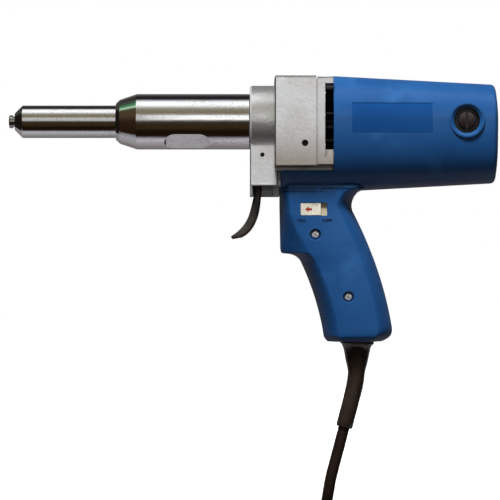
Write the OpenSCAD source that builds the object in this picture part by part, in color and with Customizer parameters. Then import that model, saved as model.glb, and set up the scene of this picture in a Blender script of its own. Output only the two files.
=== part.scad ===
// Electric blind riveter with a pistol grip, in millimetres.
// X runs along the barrel with the nose toward -X, Z is up, and -Y is the side with the switch.
// The origin is the middle of the grip, where the hand holds the tool.

/* [Layout] */
// Height of the barrel and motor axis above the grip point
axis_z = 103.4; // [101:0.1:106]
// Distance from the grip point forward to the front face of the gear case
grip_to_case = 63.7; // [63:0.1:64.5]

/* [Nosepiece and front sleeve] */
// Diameter of the nosepiece flange
nosepiece_d = 8.2; // [7.6:0.1:9]
// Length of the nosepiece flange
nosepiece_flange_l = 2.9; // [2.4:0.1:4]
// Width of the groove between the nosepiece flange and the front sleeve
nosepiece_groove_l = 1.1; // [0.8:0.1:2]
// Diameter of the nosepiece shank
nosepiece_shank_d = 7; // [6.4:0.1:7.2]
// Diameter of the bore that takes the rivet's mandrel
nosepiece_bore_d = 3.1; // [2:0.1:3.6]
// Diameter of the nosepiece tail where it meets the jaws
nosepiece_tail_d = 4.4; // [4.2:0.1:5]
// Diameter of the slim front sleeve
front_sleeve_d = 22; // [21:0.1:23]
// Visible length of the front sleeve
front_sleeve_l = 70.2; // [68:0.1:76]
// Diameter of the front face of the nose cone
nose_face_d = 9.4; // [9.2:0.1:11]
// Length of the threaded front wall of the front sleeve
nose_wall_l = 12; // [10:0.1:13]
// Diameter of the bore that the jaw housing slides in
front_bore_d = 16.8; // [16.6:0.1:17.4]
// Diameter of the front sleeve's rear thread
front_thread_d = 19.6; // [19.2:0.1:20.4]
// Length of the front sleeve's rear thread
front_thread_l = 13.5; // [10:0.1:14]

/* [Main sleeve] */
// Diameter of the main sleeve
main_sleeve_d = 38.5; // [38.2:0.1:39.4]
// Visible length of the main sleeve
main_sleeve_l = 93; // [92:0.1:96]
// Diameter of the front lip of the main sleeve
main_lip_d = 24.4; // [23.4:0.1:26]
// Diameter where the front lip meets the cone
main_cone_d = 30.6; // [29:0.1:33]
// Length of the rounded front lip
main_lip_l = 2.8; // [2:0.1:4]
// Length of the cone behind the lip
main_cone_l = 11.8; // [9:0.1:13]
// Wall round the bore in front, which guides the draw screw
guide_wall = 4.75; // [4.25:0.05:4.95]
// Wall round the bore behind, which holds the nut's bearings
bearing_wall = 2.75; // [2.25:0.05:2.95]
// Step in from the main sleeve to the thread that holds it in the gear case
main_thread_step = 1.25; // [0.95:0.05:1.45]
// Length of that thread
main_thread_l = 5.7; // [4.5:0.1:5.8]
// Depth of the two wrench flats
flat_depth = 1.2; // [0.6:0.1:1.6]
// Length of the wrench flats
flat_l = 16.2; // [12:0.1:20]
// Distance from the gear case to the rear end of the wrench flats
flat_to_case = 35.3; // [30:0.1:38]
// Radius of the cutter that ends the flats
flat_runout_r = 26; // [18:1:32]
// Angle of the flats below the horizontal
flat_turn = 45; // [0:5:90]
// Width of the key slot that keeps the draw screw from turning
key_w = 5; // [4:0.1:6]
// Depth of the key slot
key_depth = 1.6; // [1.2:0.1:2]

/* [Draw mechanism] */
// Stroke of the draw screw
draw_stroke = 20; // [16:0.5:20]
// Diameter of the draw screw
screw_d = 12; // [11:0.1:12.4]
// Thickness of the guide flange on the draw screw
flange_l = 8; // [6:0.1:9]
// Length of the jaw housing
jaw_housing_l = 44; // [42:0.1:46]
// Length of the closing cone in the jaw housing
jaw_cone_l = 20; // [19:0.1:22]
// Widening of the cone's radius for each millimetre of length
jaw_cone_slope = 0.15; // [0.13:0.005:0.16]
// Diameter of the front opening of the jaw housing
jaw_mouth_d = 8.4; // [8.2:0.1:8.8]
// Length of a jaw
jaw_l = 11; // [9:0.1:12]
// How far a jaw moves between closed and open
jaw_travel = 1.5; // [1:0.1:1.6]
// Gap between neighbouring jaws when closed
jaw_gap = 0.6; // [0.4:0.1:1]
// Diameter of the hole that is left between the closed jaws
jaw_grip_d = 2; // [1.6:0.1:2.6]
// Number of gripping teeth along a jaw
jaw_teeth = 9; // [5:1:11]
// Length of the pusher's disc
pusher_disc_l = 5; // [4:0.1:6]
// Length of the pusher's stem
pusher_stem_l = 6; // [5:0.1:7]
// Wire diameter of the spring behind the pusher
jaw_wire_d = 1; // [0.8:0.1:1.2]
// Wire diameter of the return spring
return_wire_d = 1.8; // [1.4:0.1:1.9]
// Turns of the return spring
return_turns = 5; // [4:1:5]

/* [Nut and clutch] */
// Length of the bearings on the drive nut
nut_bearing_l = 5; // [4:0.1:5.5]
// Diameter of the journals of the drive nut
nut_journal_d = 18; // [17:0.1:19]
// Diameter of the body of the drive nut
nut_d = 27; // [25:0.1:29]
// Length of the clutch cup
cup_l = 8; // [7:0.1:8.4]
// Diameter of the clutch cup
cup_d = 29; // [28.4:0.1:30.6]
// Diameter of the open end of the clutch cone
clutch_cone_d = 26.4; // [26:0.1:26.6]
// Depth of the clutch cone
clutch_cone_l = 6; // [5.6:0.1:6.2]
// Narrowing of the clutch cone's radius for each millimetre of depth
clutch_slope = 0.28; // [0.25:0.01:0.3]
// Length of the sleeve that slides into the cup
clutch_sleeve_l = 16; // [15.4:0.1:16.4]
// Diameter of the hub that carries the clutch sleeve
hub_d = 17; // [16.6:0.1:17.4]
// Thickness of the clutch fork
fork_t = 3; // [2.6:0.1:3.2]
// Wire diameter of the clutch spring
clutch_wire_d = 0.7; // [0.5:0.1:0.8]
// Length of the bearing that carries the clutch gear
clutch_bearing_l = 5; // [4:0.1:5.4]
// Outer diameter of that bearing
clutch_bearing_d = 22; // [21:0.1:22.6]

/* [Gears] */
// Module of all gears
gear_module = 0.6; // [0.58:0.01:0.6]
// Teeth of the armature pinion
pinion_teeth = 11; // [10:1:12]
// Teeth of the large gear on the layshaft
large_teeth = 43; // [42:1:44]
// Teeth of the small gear on the layshaft
small_teeth = 13; // [12:1:14]
// Width of the clutch gear
clutch_gear_l = 8; // [6:0.1:8.4]
// Width of the large gear on the layshaft
large_gear_l = 7; // [5:0.1:7.5]
// Gap between the clutch gear and the large gear
gear_gap = 3; // [2:0.1:3.4]
// Diameter of the layshaft
layshaft_d = 5; // [4.4:0.1:5.4]
// Wall of the layshaft's bushes
bush_wall = 1.5; // [1:0.1:1.6]

/* [Gear case] */
// Diameter of the front collar
collar_d = 50; // [48:0.1:52]
// Length of the front collar
collar_l = 17.1; // [16.8:0.1:17.6]
// Diameter of the clutch space inside the collar
clutch_space_d = 40; // [39:0.1:41]
// Length of the square block
block_l = 28.9; // [28:0.1:30]
// Height of the square block
block_h = 63; // [62.6:0.1:65]
// Width of the square block
block_w = 60; // [59.6:0.1:62]
// Radius of the block's corners
block_r = 4; // [2:0.1:5]
// Wall around the gears
case_wall = 2.4; // [2:0.1:2.6]
// Length of the middle housing between the block and the motor
middle_l = 11.4; // [11:0.1:13]
// Thickness of the plate that holds the front bearing
middle_plate_t = 5.8; // [5.4:0.1:6.2]
// Height of the middle housing
middle_h = 61.6; // [60.6:0.1:62]
// Width of the middle housing
middle_w = 58.6; // [58:0.1:59.6]
// Height of the exhaust window
window_h = 45.2; // [38:0.1:48]
// Height of the window's middle above the axis
window_rise = 2.6; // [0:0.1:4]
// Diameter of the screw recess in the block's side
side_screw_d = 4.5; // [3.6:0.1:5.4]
// Distance of that recess from the block's rear face
side_screw_x = 8.2; // [6:0.1:12]
// Drop of that recess below the axis
side_screw_drop = 15.8; // [12:0.1:20]
// Diameter of the screws that hold the block to the middle housing
case_screw_d = 4; // [3:0.1:4.2]
// Length of those screws
case_screw_l = 34; // [32:0.1:34.4]

/* [Trigger bracket] */
// Width of the bracket below the collar
leg_w = 40; // [36:0.1:42]
// Width of the slot for the trigger
slot_w = 12; // [11.6:0.1:14]
// Drop of the near wall's lower edge below the axis
near_drop = 45; // [42:0.1:46]
// Drop of the far wall's and the front web's lower edge below the axis
far_drop = 52; // [50:0.1:53]
// Thickness of the front web
web_t = 2.2; // [1.6:0.1:2.4]
// Chamfer at the lower front corner of the bracket
leg_chamfer = 2.6; // [1:0.1:4]

/* [Trigger] */
// Drop of the trigger pin below the axis
pin_drop = 23.5; // [23.2:0.1:24]
// Distance of the trigger pin behind the front face of the gear case
pin_x = 8.6; // [8.4:0.1:8.8]
// Diameter of the trigger pin
pin_d = 3; // [2.6:0.1:3.4]
// Width of the trigger
trigger_w = 11; // [10:0.1:11.2]
// Length of the trigger below its pin
trigger_reach = 58; // [52:0.5:60]
// Thickness of the trigger lever, front to back
trigger_t = 6.2; // [5:0.1:6.4]
// How far the trigger's tip is curved forward
trigger_curl = 16; // [12:0.5:18]
// Height of the arm above the pin that pushes the fork
arm_h = 8.5; // [8.3:0.1:8.7]
// Radius of the rounded end of that arm
arm_r = 2.3; // [2:0.1:2.4]

/* [Motor housing] */
// Length of the drum
drum_l = 112.6; // [111:0.1:118]
// Height of the drum above the axis in front
drum_front_top = 31.7; // [31.4:0.1:34]
// Height of the drum above the axis behind
drum_rear_top = 25.7; // [25.4:0.1:28]
// Half of the drum's width in front
drum_front_side = 32; // [31.6:0.1:34]
// Half of the drum's width behind
drum_rear_side = 26.5; // [26.2:0.1:29]
// Depth of the drum below the axis in front
drum_front_drop = 48.9; // [47.5:0.1:50]
// Depth of the drum below the axis behind
drum_rear_drop = 42.8; // [41:0.1:45]
// Fullness of the drum's lower half, where 2 is an ellipse
drum_fullness = 2.4; // [2.2:0.05:2.6]
// Rise of the rounded rear face
drum_bulge = 2; // [1:0.1:3]
// Radius of the rear edge
drum_edge_r = 3; // [2:0.1:4]
// Wall of the mouldings
wall = 2.4; // [2:0.1:2.5]
// Length of the bare label recess
label_l = 55.6; // [48:0.1:60]
// Height of the bare label recess
label_h = 20.6; // [16:0.1:24]
// Distance of the label recess behind the drum's front edge
label_x = 12.4; // [8:0.1:16]
// Depth of the label recess
label_depth = 0.5; // [0.3:0.1:0.8]
// Length of the saddle under the gear case
saddle_l = 35.8; // [35:0.1:36.4]
// Drop of the saddle's top below the axis
saddle_drop = 34.6; // [33.6:0.1:35.6]

/* [Grip] */
// Width of the grip
grip_w = 35; // [34:0.1:38]
// Radius of the grip's long edges
grip_edge_r = 11; // [8:0.1:12]
// Distance from the grip point forward to the head's front
head_front = 43.2; // [42.9:0.1:43.4]
// Height of the head's lower front corner above the grip point
hook_z = 12; // [10:0.1:14]
// Distance from the grip point forward to the grip below the hook
grip_front_top = 28.4; // [27:0.1:30]
// Distance from the grip point forward to the toe of the grip
grip_front_toe = 12.6; // [11:0.1:14]
// Distance from the grip point back to the waist
grip_rear_waist = 7; // [6:0.1:8]
// Distance from the grip point back to the heel of the grip
grip_rear_heel = 35.2; // [33:0.1:37]
// Height of the waist above the grip point
waist_z = 44; // [42:0.1:45]
// Depth of the grip's lower end below the grip point
grip_bottom = 49.2; // [48:0.1:51]

/* [Switch] */
// Length of the switch window
window_l = 18.4; // [17:0.1:19]
// Height of the switch window
switch_window_h = 9; // [8:0.1:9.4]
// Travel of the slider
slider_travel = 4.2; // [3:0.1:4.4]
// Distance of the window's middle forward of the grip point
switch_x = 19.6; // [18:0.1:21]
// Height of the window's middle above the grip point
switch_z = 42.5; // [41:0.1:44]
// Depth of the switch body behind the cover
switch_depth = 17; // [14:0.1:19]

/* [Handle screws] */
// Diameter of the screw heads in the handle
handle_head_d = 5.4; // [4.6:0.1:6]
// Diameter of the recesses around the heads
handle_recess_d = 7.3; // [6.8:0.1:8]
// Diameter of the screw shanks
handle_shank_d = 3; // [2.6:0.1:3.4]

/* [Motor] */
// Diameter of the armature shaft
shaft_d = 8; // [7:0.1:8.4]
// Diameter of the armature core
armature_d = 30; // [28:0.1:30.4]
// Room for the windings between the cores and the commutator
core_to_commutator = 22.1; // [20.1:0.1:24]
// Distance of the cores behind the drum's front edge
core_x = 20.3; // [19:0.1:22]
// Number of armature slots
armature_slots = 12; // [8:1:14]
// Length of the winding heads
winding_l = 10; // [8:0.1:10.5]
// Outer diameter of the field core
field_d = 50; // [48:0.1:50.4]
// Air gap between armature and field
air_gap = 0.6; // [0.4:0.1:0.8]
// Diameter of the commutator
commutator_d = 21; // [19:0.1:22]
// Length of the commutator
commutator_l = 18; // [16:0.1:18.6]
// Diameter of the fan
fan_d = 45; // [42:0.1:46]
// Length of the fan
fan_l = 8; // [6:0.1:9]
// Number of fan blades
fan_blades = 14; // [9:1:16]
// Outer diameter of the front bearing
front_bearing_d = 19; // [17:0.1:19.4]
// Outer diameter of the rear bearing
rear_bearing_d = 16; // [15:0.1:17]
// Length of the motor bearings
motor_bearing_l = 5; // [4:0.1:5.4]

/* [Brushes] */
// Distance of the brushes from the drum's rear edge
brush_inset = 21.2; // [20.6:0.1:22.6]
// Side of a carbon brush
brush_w = 6; // [5:0.1:6.2]
// Diameter of a brush holder
holder_d = 12.4; // [11.8:0.1:13]
// Diameter of a brush cap
cap_d = 12; // [11:0.1:12.2]
// Diameter of the well around a brush cap
well_d = 17.7; // [16.6:0.1:18.6]
// Diameter of the boss around the well
boss_d = 24.5; // [23:0.1:26]
// Depth of the well
well_depth = 4; // [3:0.1:4.4]

/* [Cord] */
// Diameter of the supply cord
cord_d = 8; // [7.6:0.1:8.4]
// Diameter of the guard where it leaves the grip
guard_top_d = 22; // [20:0.1:23]
// Diameter of the guard's slim tube
guard_tube_d = 11.7; // [11:0.1:12.4]
// Diameter of the cord coil's outer edge
coil_d = 120; // [114:1:124]
// Width of the coil's ring of turns
coil_w = 32; // [30:1:34]
// Height of the coil
coil_h = 16; // [14:1:18]
// Distance between the plug's pins
plug_pin_pitch = 19; // [18.6:0.1:19.4]
// Diameter of the plug's pins
plug_pin_d = 4.8; // [4:0.1:5]
// Length of the plug's pins
plug_pin_l = 19; // [17:0.1:20]
// Width of the plug
plug_w = 36; // [34:0.5:40]
// Thickness of the plug
plug_t = 17; // [14:0.5:18]
// Length of the plug's body
plug_l = 32; // [28:0.5:38]

/* [Fits] */
// Radial gap of shafts and pins in their bearings
running_gap = 0.05; // [0.02:0.01:0.08]
// Gap between sliding pieces
slide_gap = 0.1; // [0.08:0.01:0.14]
// Gap between pieces that only pass each other
free_gap = 0.3; // [0.2:0.05:0.35]

/* [Hidden] */
$fn = 72;
// Small length that cutters reach past a face
past = 0.5;

// Places along the barrel, from the gear case forward and back
case_x = -grip_to_case;
block_x = case_x + collar_l;
middle_x = block_x + block_l;
motor_x = middle_x + middle_l;
drum_end_x = motor_x + drum_l;
main_x = case_x - main_sleeve_l;
front_x = main_x - front_sleeve_l;
flange_front_x = front_x - nosepiece_groove_l - nosepiece_flange_l;
nose_wall_x = front_x + nose_wall_l;

// Bores and thread of the main sleeve
guide_bore_d = main_sleeve_d - 2 * guide_wall;
bearing_bore_d = main_sleeve_d - 2 * bearing_wall;
main_thread_d = main_sleeve_d - 2 * main_thread_step;

// Places of the jaws and the draw screw, at rest
mouth_x = nose_wall_x + 3;
jaw_x = mouth_x + 5;
jaw_end_x = jaw_x + jaw_l;
jaw_housing_end_x = mouth_x + jaw_housing_l;
jaw_housing_wall_l = 8;
jaw_space_end_x = jaw_housing_end_x - jaw_housing_wall_l;
guide_x = main_x + front_thread_l;
flange_x = guide_x + 5;
flange_end_x = flange_x + flange_l;
jaw_tilt = atan(jaw_cone_slope);
jaw_run = jaw_travel * cos(jaw_tilt);
pusher_x = jaw_end_x + running_gap;
jaw_stem_d = 6.4;

// Places of the drive nut and the clutch
nut_to_case = 36.3;
nut_body_l = 19;
nut_x = case_x - nut_to_case;
nut_body_x = nut_x + nut_bearing_l;
nut_rear_x = nut_body_x + nut_body_l;
cup_x = nut_rear_x + nut_bearing_l + 1;
cup_end_x = cup_x + cup_l;
cup_floor = cup_l - clutch_cone_l;
screw_end_x = cup_x - 2;
clutch_stroke = 1.5;
clutch_rest_gap = 0.15;
web_x = block_x - 1.2;
sleeve_end_x = web_x - 1;
sleeve_x = sleeve_end_x - clutch_sleeve_l;
fork_x = sleeve_end_x - 7;
fork_gap = 0.2;
fork_groove_d = hub_d + 3.6;
spring_seat_x = sleeve_x + 5.3;
washer_t = 0.8;
washer_x = sleeve_x + 1;
gear_x = web_x + clutch_bearing_l + 1;
large_gear_x = gear_x + clutch_gear_l + gear_gap;
hub_bore_d = screw_d + 1.2;

// Gears: both stages have the same distance between their axes
clutch_teeth = pinion_teeth + large_teeth - small_teeth;
gear_distance = gear_module * (pinion_teeth + large_teeth) / 2;
lay_y = gear_distance * sin(45);
lay_z = gear_distance * cos(45);
tooth_play = 0.05;
pressure_angle = 20;

// Trigger
trigger_x = case_x + pin_x;
trigger_z = axis_z - pin_drop;
trigger_turn = 10;
arm_x = fork_x + fork_t + slide_gap + arm_r;

// Motor
brush_middle_x = drum_end_x - brush_inset;
commutator_x = brush_middle_x - commutator_l / 2;
core_front_x = motor_x + core_x;
core_end_x = commutator_x - core_to_commutator;
core_l = core_end_x - core_front_x;
rear_bearing_x = commutator_x + commutator_l + 2;
front_bearing_x = middle_x + middle_plate_t - motor_bearing_l;
fan_x = middle_x + middle_plate_t + 0.8;
rear_journal_d = shaft_d - 1;
pinion_x = large_gear_x - 1;
pinion_l = large_gear_l + 2;
slot_depth = 6;
slot_width = 2.2;
brush_h = 7;
cap_t = 2.6;
pole_angle = 55;
yoke_t = 4;

// Housing
side_slope = (drum_front_side - drum_rear_side) / drum_l;
boss_y = drum_front_side - side_slope * (brush_middle_x - motor_x) + 1.1;
well_y = boss_y - well_depth;
cap_end_y = well_y - 2;
half_grip = grip_w / 2;
saddle_x = motor_x - saddle_l;
motor_screw_y = 13.7;
motor_screw_z = 23.8;
case_screw_y = 24.5;
case_screw_z = 26;
handle_screw_spots = [[-18.6, 25], [4.2, -18.1]];
seam = 0.2;
seam_step_x = -14.6;
seam_step_h = 2.4;
case_head_d = 7;
case_head_l = 4;
motor_screw_d = 4;
motor_head_d = 7;
motor_head_l = 3;
motor_screw_l = 24;
gear_space_d = 52;
large_space_d = 29;
foot_w = 44;
lug_h = 10.4;
screw_floor = 14.3;
screw_grip = 9;
guard_x = 10.8;
guard_neck_d = 20;
guard_collar_z = -grip_bottom + wall + 0.2;
guard_inner_z = guard_collar_z + 2.6;
clamp_z = -30;
clamp_t = 2.6;
clamp_pitch = 20;
clamp_screw_d = 3;

// The cord's route from the guard's end to the coil, chosen by hand
guard_points = [
    [10.8, 0, -70], [10.1, 0, -75], [8.9, 0, -81], [7.2, 0, -88], [5.4, 0, -95], [3.5, 0, -102],
    [1.7, 0, -109],
];
cord_points = [
    [1.7, 0, -109], [-1.4, 0, -121], [-4.6, 0, -133], [-7.4, 0, -144], [-9, 0.6, -153], [-10.5, 3.8, -163],
    [-11.7, 9.8, -172], [-12.8, 17.8, -179.2], [-13.6, 27, -183.8], [-13.9, 36, -185.8],
];
// From the top of the coil over its outer turn and down to the plug
lead_points = [
    [41, -6, -177.8], [33, -6, -177.8], [25, -6, -177.8], [17, -6, -178.2], [9, -6, -179.7],
    [1, -6, -181.6], [-6, -6, -182.5],
];
floor_z = -191;
tie_t = 1.2;
coil_x = 41;
coil_y = 47;
plug_x = -15;
plug_y = -6;
plug_z = floor_z + plug_t / 2;

// Turns the children's Z axis into the barrel's axis, with their origin at x
module along(x = 0)
    translate([x, 0, axis_z]) rotate([0, 90, 0]) children();

// Turned piece on the barrel's axis, from an outline of [radius, x] points
module turned(outline)
    along() rotate_extrude() polygon(outline);

// Plain ring on the barrel's axis
module ring(x, length, outer_d, inner_d)
    along(x) difference() {
        cylinder(d = outer_d, h = length);
        translate([0, 0, -past]) cylinder(d = inner_d, h = length + 2 * past);
    }

// Places children at a point [y, z] beside the barrel's axis, with Z along the barrel
module beside(x, y, z)
    translate([x, y, axis_z + z]) rotate([0, 90, 0]) children();

// Faces of a closed skin through rings that all have n points
function skin_faces(rings, n) = concat(
    [[for (i = [0 : n - 1]) i]],
    [for (k = [0 : rings - 2], i = [0 : n - 1]) let (j = (i + 1) % n) each [
        [k * n + i, (k + 1) * n + i, (k + 1) * n + j],
        [k * n + i, (k + 1) * n + j, k * n + j],
    ]],
    [[for (i = [n - 1 : -1 : 0]) (rings - 1) * n + i]]
);

module skin(rings)
    polyhedron(points = [for (r = rings) each r], faces = skin_faces(len(rings), len(rings[0])),
        convexity = 8);

// Ring of points round a point of a route, square to its direction
function unit(v) = v / norm(v);
function route_ring(p, direction, r, sides) =
    let (t = unit(direction), u = unit(cross(t, [0.2, 1, 0.1])), w = cross(t, u))
    [for (i = [0 : sides - 1]) p + r * (u * cos(360 * i / sides) + w * sin(360 * i / sides))];

module route_tube(points, r, sides)
    skin([for (k = [0 : len(points) - 1])
        let (a = points[max(k - 1, 0)], b = points[min(k + 1, len(points) - 1)])
        route_ring(points[k], b - a, r, sides)]);

// Coil spring that stands on Z = 0, with few sides because it is inside the tool
module coil_spring(mean_d, wire_d, length, turns, sides = 5, steps = 12) {
    wire_r = wire_d / 2;
    count = turns * steps;
    rise = (length - wire_d) / count;
    skin([for (k = [0 : count]) let (a = 360 * k / steps) [for (i = [0 : sides - 1])
        let (b = 360 * i / sides, r = mean_d / 2 + wire_r * cos(b))
        [r * cos(a), r * sin(a), wire_r + rise * k + wire_r * sin(b)]]]);
}

// Involute gear outline: the teeth lose tooth_play on each flank so that they run free
function involute(angle) = tan(angle) * 180 / PI - angle;
function flank(r, base_r, pitch_r, teeth) =
    let (at = r > base_r ? acos(base_r / r) : 0)
    90 / teeth - tooth_play / pitch_r * 180 / PI + involute(pressure_angle) - involute(at);
module gear_outline(teeth, steps = 3) {
    pitch_r = gear_module * teeth / 2;
    base_r = pitch_r * cos(pressure_angle);
    root_r = pitch_r - 1.3 * gear_module;
    tip_r = pitch_r + 0.92 * gear_module;
    start_r = max(base_r, root_r);
    sides = [for (i = [0 : steps]) start_r + (tip_r - start_r) * i / steps];
    polygon([for (t = [0 : teeth - 1]) let (middle = 360 * t / teeth) each concat(
        [let (a = middle - 170 / teeth) root_r * [cos(a), sin(a)]],
        [let (a = middle - flank(start_r, base_r, pitch_r, teeth)) root_r * [cos(a), sin(a)]],
        [for (r = sides) let (a = middle - flank(r, base_r, pitch_r, teeth)) r * [cos(a), sin(a)]],
        [for (i = [steps : -1 : 0]) let (r = sides[i], a = middle + flank(r, base_r, pitch_r, teeth))
            r * [cos(a), sin(a)]],
        [let (a = middle + flank(start_r, base_r, pitch_r, teeth)) root_r * [cos(a), sin(a)]]
    )]);
}

// Rounded rectangle, made of squares and circles so that it stays exact
module rounded(w, h, r) {
    square([w, h - 2 * r], center = true);
    square([w - 2 * r, h], center = true);
    for (x = [-1, 1], y = [-1, 1])
        translate([x * (w / 2 - r), y * (h / 2 - r)]) circle(r);
}

// Pie-shaped cutter from angle a to angle b, less than half a turn
module wedge(r, a, b)
    polygon([
        [0, 0], r * [cos(a), sin(a)], 1.2 * r * [cos((a + b) / 2), sin((a + b) / 2)], r * [cos(b), sin(b)],
    ]);

module nosepiece() color("gainsboro") {
    shank_r = nosepiece_shank_d / 2;
    bore_r = nosepiece_bore_d / 2;
    edge = 0.4;
    turned([
        [bore_r, flange_front_x],
        [nosepiece_d / 2 - edge, flange_front_x],
        [nosepiece_d / 2, flange_front_x + edge],
        [nosepiece_d / 2, flange_front_x + nosepiece_flange_l - edge],
        [nosepiece_d / 2 - edge, flange_front_x + nosepiece_flange_l],
        [shank_r, flange_front_x + nosepiece_flange_l],
        [shank_r, nose_wall_x],
        [nosepiece_tail_d / 2, jaw_x - free_gap],
        [bore_r, jaw_x - free_gap],
    ]);
}

module front_sleeve() color("silver") {
    outer_r = front_sleeve_d / 2;
    face_r = nose_face_d / 2;
    cone_l = outer_r - face_r;
    edge = 0.8;
    turned([
        [nosepiece_shank_d / 2, front_x],
        [face_r, front_x],
        [outer_r - edge, front_x + cone_l - edge],
        [outer_r - edge * 0.3, front_x + cone_l + edge * 0.2],
        [outer_r, front_x + cone_l + edge],
        [outer_r, main_x],
        [front_thread_d / 2, main_x],
        [front_thread_d / 2, guide_x],
        [front_bore_d / 2, guide_x],
        [front_bore_d / 2, nose_wall_x],
        [nosepiece_shank_d / 2, nose_wall_x],
    ]);
}

// Cutter for one flat: a straight floor with a round run-out at each end
module flat_cutter() {
    width = main_sleeve_d;
    floor_y = main_sleeve_d / 2 - flat_depth;
    end_x = case_x - flat_to_case;
    translate([end_x - flat_l, floor_y, -width / 2]) cube([flat_l, width / 2, width]);
    for (x = [end_x - flat_l, end_x])
        translate([x, floor_y + flat_runout_r, 0]) cylinder(r = flat_runout_r, h = width, center = true);
}

module main_sleeve() color("silver") {
    outer_r = main_sleeve_d / 2;
    guide_r = guide_bore_d / 2;
    difference() {
        turned([
            [front_thread_d / 2, main_x],
            [main_lip_d / 2, main_x],
            [main_lip_d / 2 + (main_cone_d - main_lip_d) * 0.3, main_x + main_lip_l * 0.3],
            [main_cone_d / 2, main_x + main_lip_l],
            [outer_r - 0.2, main_x + main_lip_l + main_cone_l - 0.6],
            [outer_r, main_x + main_lip_l + main_cone_l],
            [outer_r, case_x],
            [main_thread_d / 2, case_x],
            [main_thread_d / 2, case_x + main_thread_l],
            [bearing_bore_d / 2, case_x + main_thread_l],
            [bearing_bore_d / 2, nut_x],
            [guide_r, nut_x],
            [guide_r, guide_x],
            [front_thread_d / 2, guide_x],
        ]);
        for (side = [0, 180])
            translate([0, 0, axis_z]) rotate([180 + flat_turn + side, 0, 0]) flat_cutter();
        translate([guide_x, -key_w / 2, axis_z]) cube([nut_x - guide_x - 6, key_w, guide_r + key_depth]);
    }
}

module jaw_housing() color("dimgray") {
    outer_r = front_bore_d / 2 - slide_gap;
    mouth_r = jaw_mouth_d / 2;
    space_r = mouth_r + jaw_cone_slope * jaw_cone_l;
    thread_r = screw_d / 2 - 1;
    edge = 0.5;
    turned([
        [mouth_r, mouth_x],
        [outer_r - edge, mouth_x],
        [outer_r, mouth_x + edge],
        [outer_r, jaw_housing_end_x],
        [thread_r, jaw_housing_end_x],
        [thread_r, jaw_space_end_x],
        [space_r, jaw_space_end_x],
        [space_r, mouth_x + jaw_cone_l],
    ]);
}

// One of three jaws: a third of a cone, toothed inside, that slides along its housing's cone
module jaw(number) {
    grip_r = jaw_grip_d / 2;
    front_r = jaw_mouth_d / 2 + jaw_cone_slope * (jaw_x - mouth_x) - slide_gap / cos(jaw_tilt);
    rear_r = front_r + jaw_cone_slope * jaw_l;
    pitch = jaw_l / jaw_teeth;
    color("slategray") intersection() {
        turned(concat(
            [[front_r, jaw_x], [rear_r, jaw_end_x]],
            [for (i = [jaw_teeth : -1 : 1]) each [
                [grip_r, jaw_x + i * pitch],
                [grip_r + pitch * 0.4, jaw_x + (i - 0.6) * pitch],
            ]],
            [[grip_r + pitch * 0.4, jaw_x]]
        ));
        along(jaw_x - past) rotate(120 * number) translate([jaw_gap / sqrt(3), 0])
            linear_extrude(jaw_l + 2 * past) wedge(3 * rear_r, -60, 60);
    }
}
module jaw_1() jaw(0);
module jaw_2() jaw(1);
module jaw_3() jaw(2);

module jaw_pusher() color("gray") {
    disc_r = jaw_mouth_d / 2 + jaw_cone_slope * (jaw_end_x - mouth_x) - 0.6;
    bore_r = 1.4;
    turned([
        [bore_r, pusher_x],
        [disc_r, pusher_x],
        [disc_r, pusher_x + pusher_disc_l],
        [jaw_stem_d / 2, pusher_x + pusher_disc_l],
        [jaw_stem_d / 2, pusher_x + pusher_disc_l + pusher_stem_l],
        [bore_r, pusher_x + pusher_disc_l + pusher_stem_l],
    ]);
}

module jaw_spring() color("silver") {
    start_x = pusher_x + pusher_disc_l;
    along(start_x) coil_spring(jaw_stem_d + jaw_wire_d + 1.4, jaw_wire_d, jaw_space_end_x - start_x, 5);
}

module draw_screw() color("slategray") {
    stem_r = screw_d / 2 - 1;
    flange_r = guide_bore_d / 2 - slide_gap;
    turned([
        [0, jaw_space_end_x],
        [stem_r, jaw_space_end_x],
        [stem_r, jaw_housing_end_x],
        [screw_d / 2, jaw_housing_end_x],
        [screw_d / 2, flange_x],
        [flange_r, flange_x],
        [flange_r, flange_end_x],
        [screw_d / 2, flange_end_x],
        [screw_d / 2, screw_end_x - 1],
        [screw_d / 2 - 1, screw_end_x],
        [0, screw_end_x],
    ]);
    translate([flange_x, slide_gap - key_w / 2, axis_z])
        intersection() {
            cube([flange_l, key_w - 2 * slide_gap, flange_r + key_depth]);
            translate([0, 0, flange_r - 1.5]) cube([flange_l, key_w, key_depth + 1.5]);
        }
}

module return_spring() color("silver") {
    along(flange_end_x) coil_spring(guide_bore_d - 2 * return_wire_d - 1.4, return_wire_d,
        nut_x - flange_end_x, return_turns, sides = 6, steps = 14);
}

module drive_nut() color("slategray") {
    bore_r = screw_d / 2 + slide_gap;
    journal_r = nut_journal_d / 2;
    turned([
        [bore_r, nut_x],
        [journal_r, nut_x],
        [journal_r, nut_body_x + slide_gap],
        [nut_d / 2, nut_body_x + slide_gap],
        [nut_d / 2, nut_rear_x - slide_gap],
        [journal_r, nut_rear_x - slide_gap],
        [journal_r, cup_x],
        [journal_r - 1, cup_x],
        [journal_r - 1, cup_x + cup_floor],
        [bore_r, cup_x + cup_floor],
    ]);
}

module clutch_cup() color("gray") {
    mouth_r = clutch_cone_d / 2;
    turned([
        [nut_journal_d / 2 - 1, cup_x],
        [cup_d / 2, cup_x],
        [cup_d / 2, cup_end_x],
        [mouth_r, cup_end_x],
        [mouth_r - clutch_slope * clutch_cone_l, cup_x + cup_floor],
        [nut_journal_d / 2 - 1, cup_x + cup_floor],
    ]);
}

module nut_bearings() color("lightsteelblue") {
    ring(nut_x, nut_bearing_l, bearing_bore_d, nut_journal_d + 2 * running_gap);
    ring(nut_rear_x, nut_bearing_l, bearing_bore_d, nut_journal_d + 2 * running_gap);
}

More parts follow.
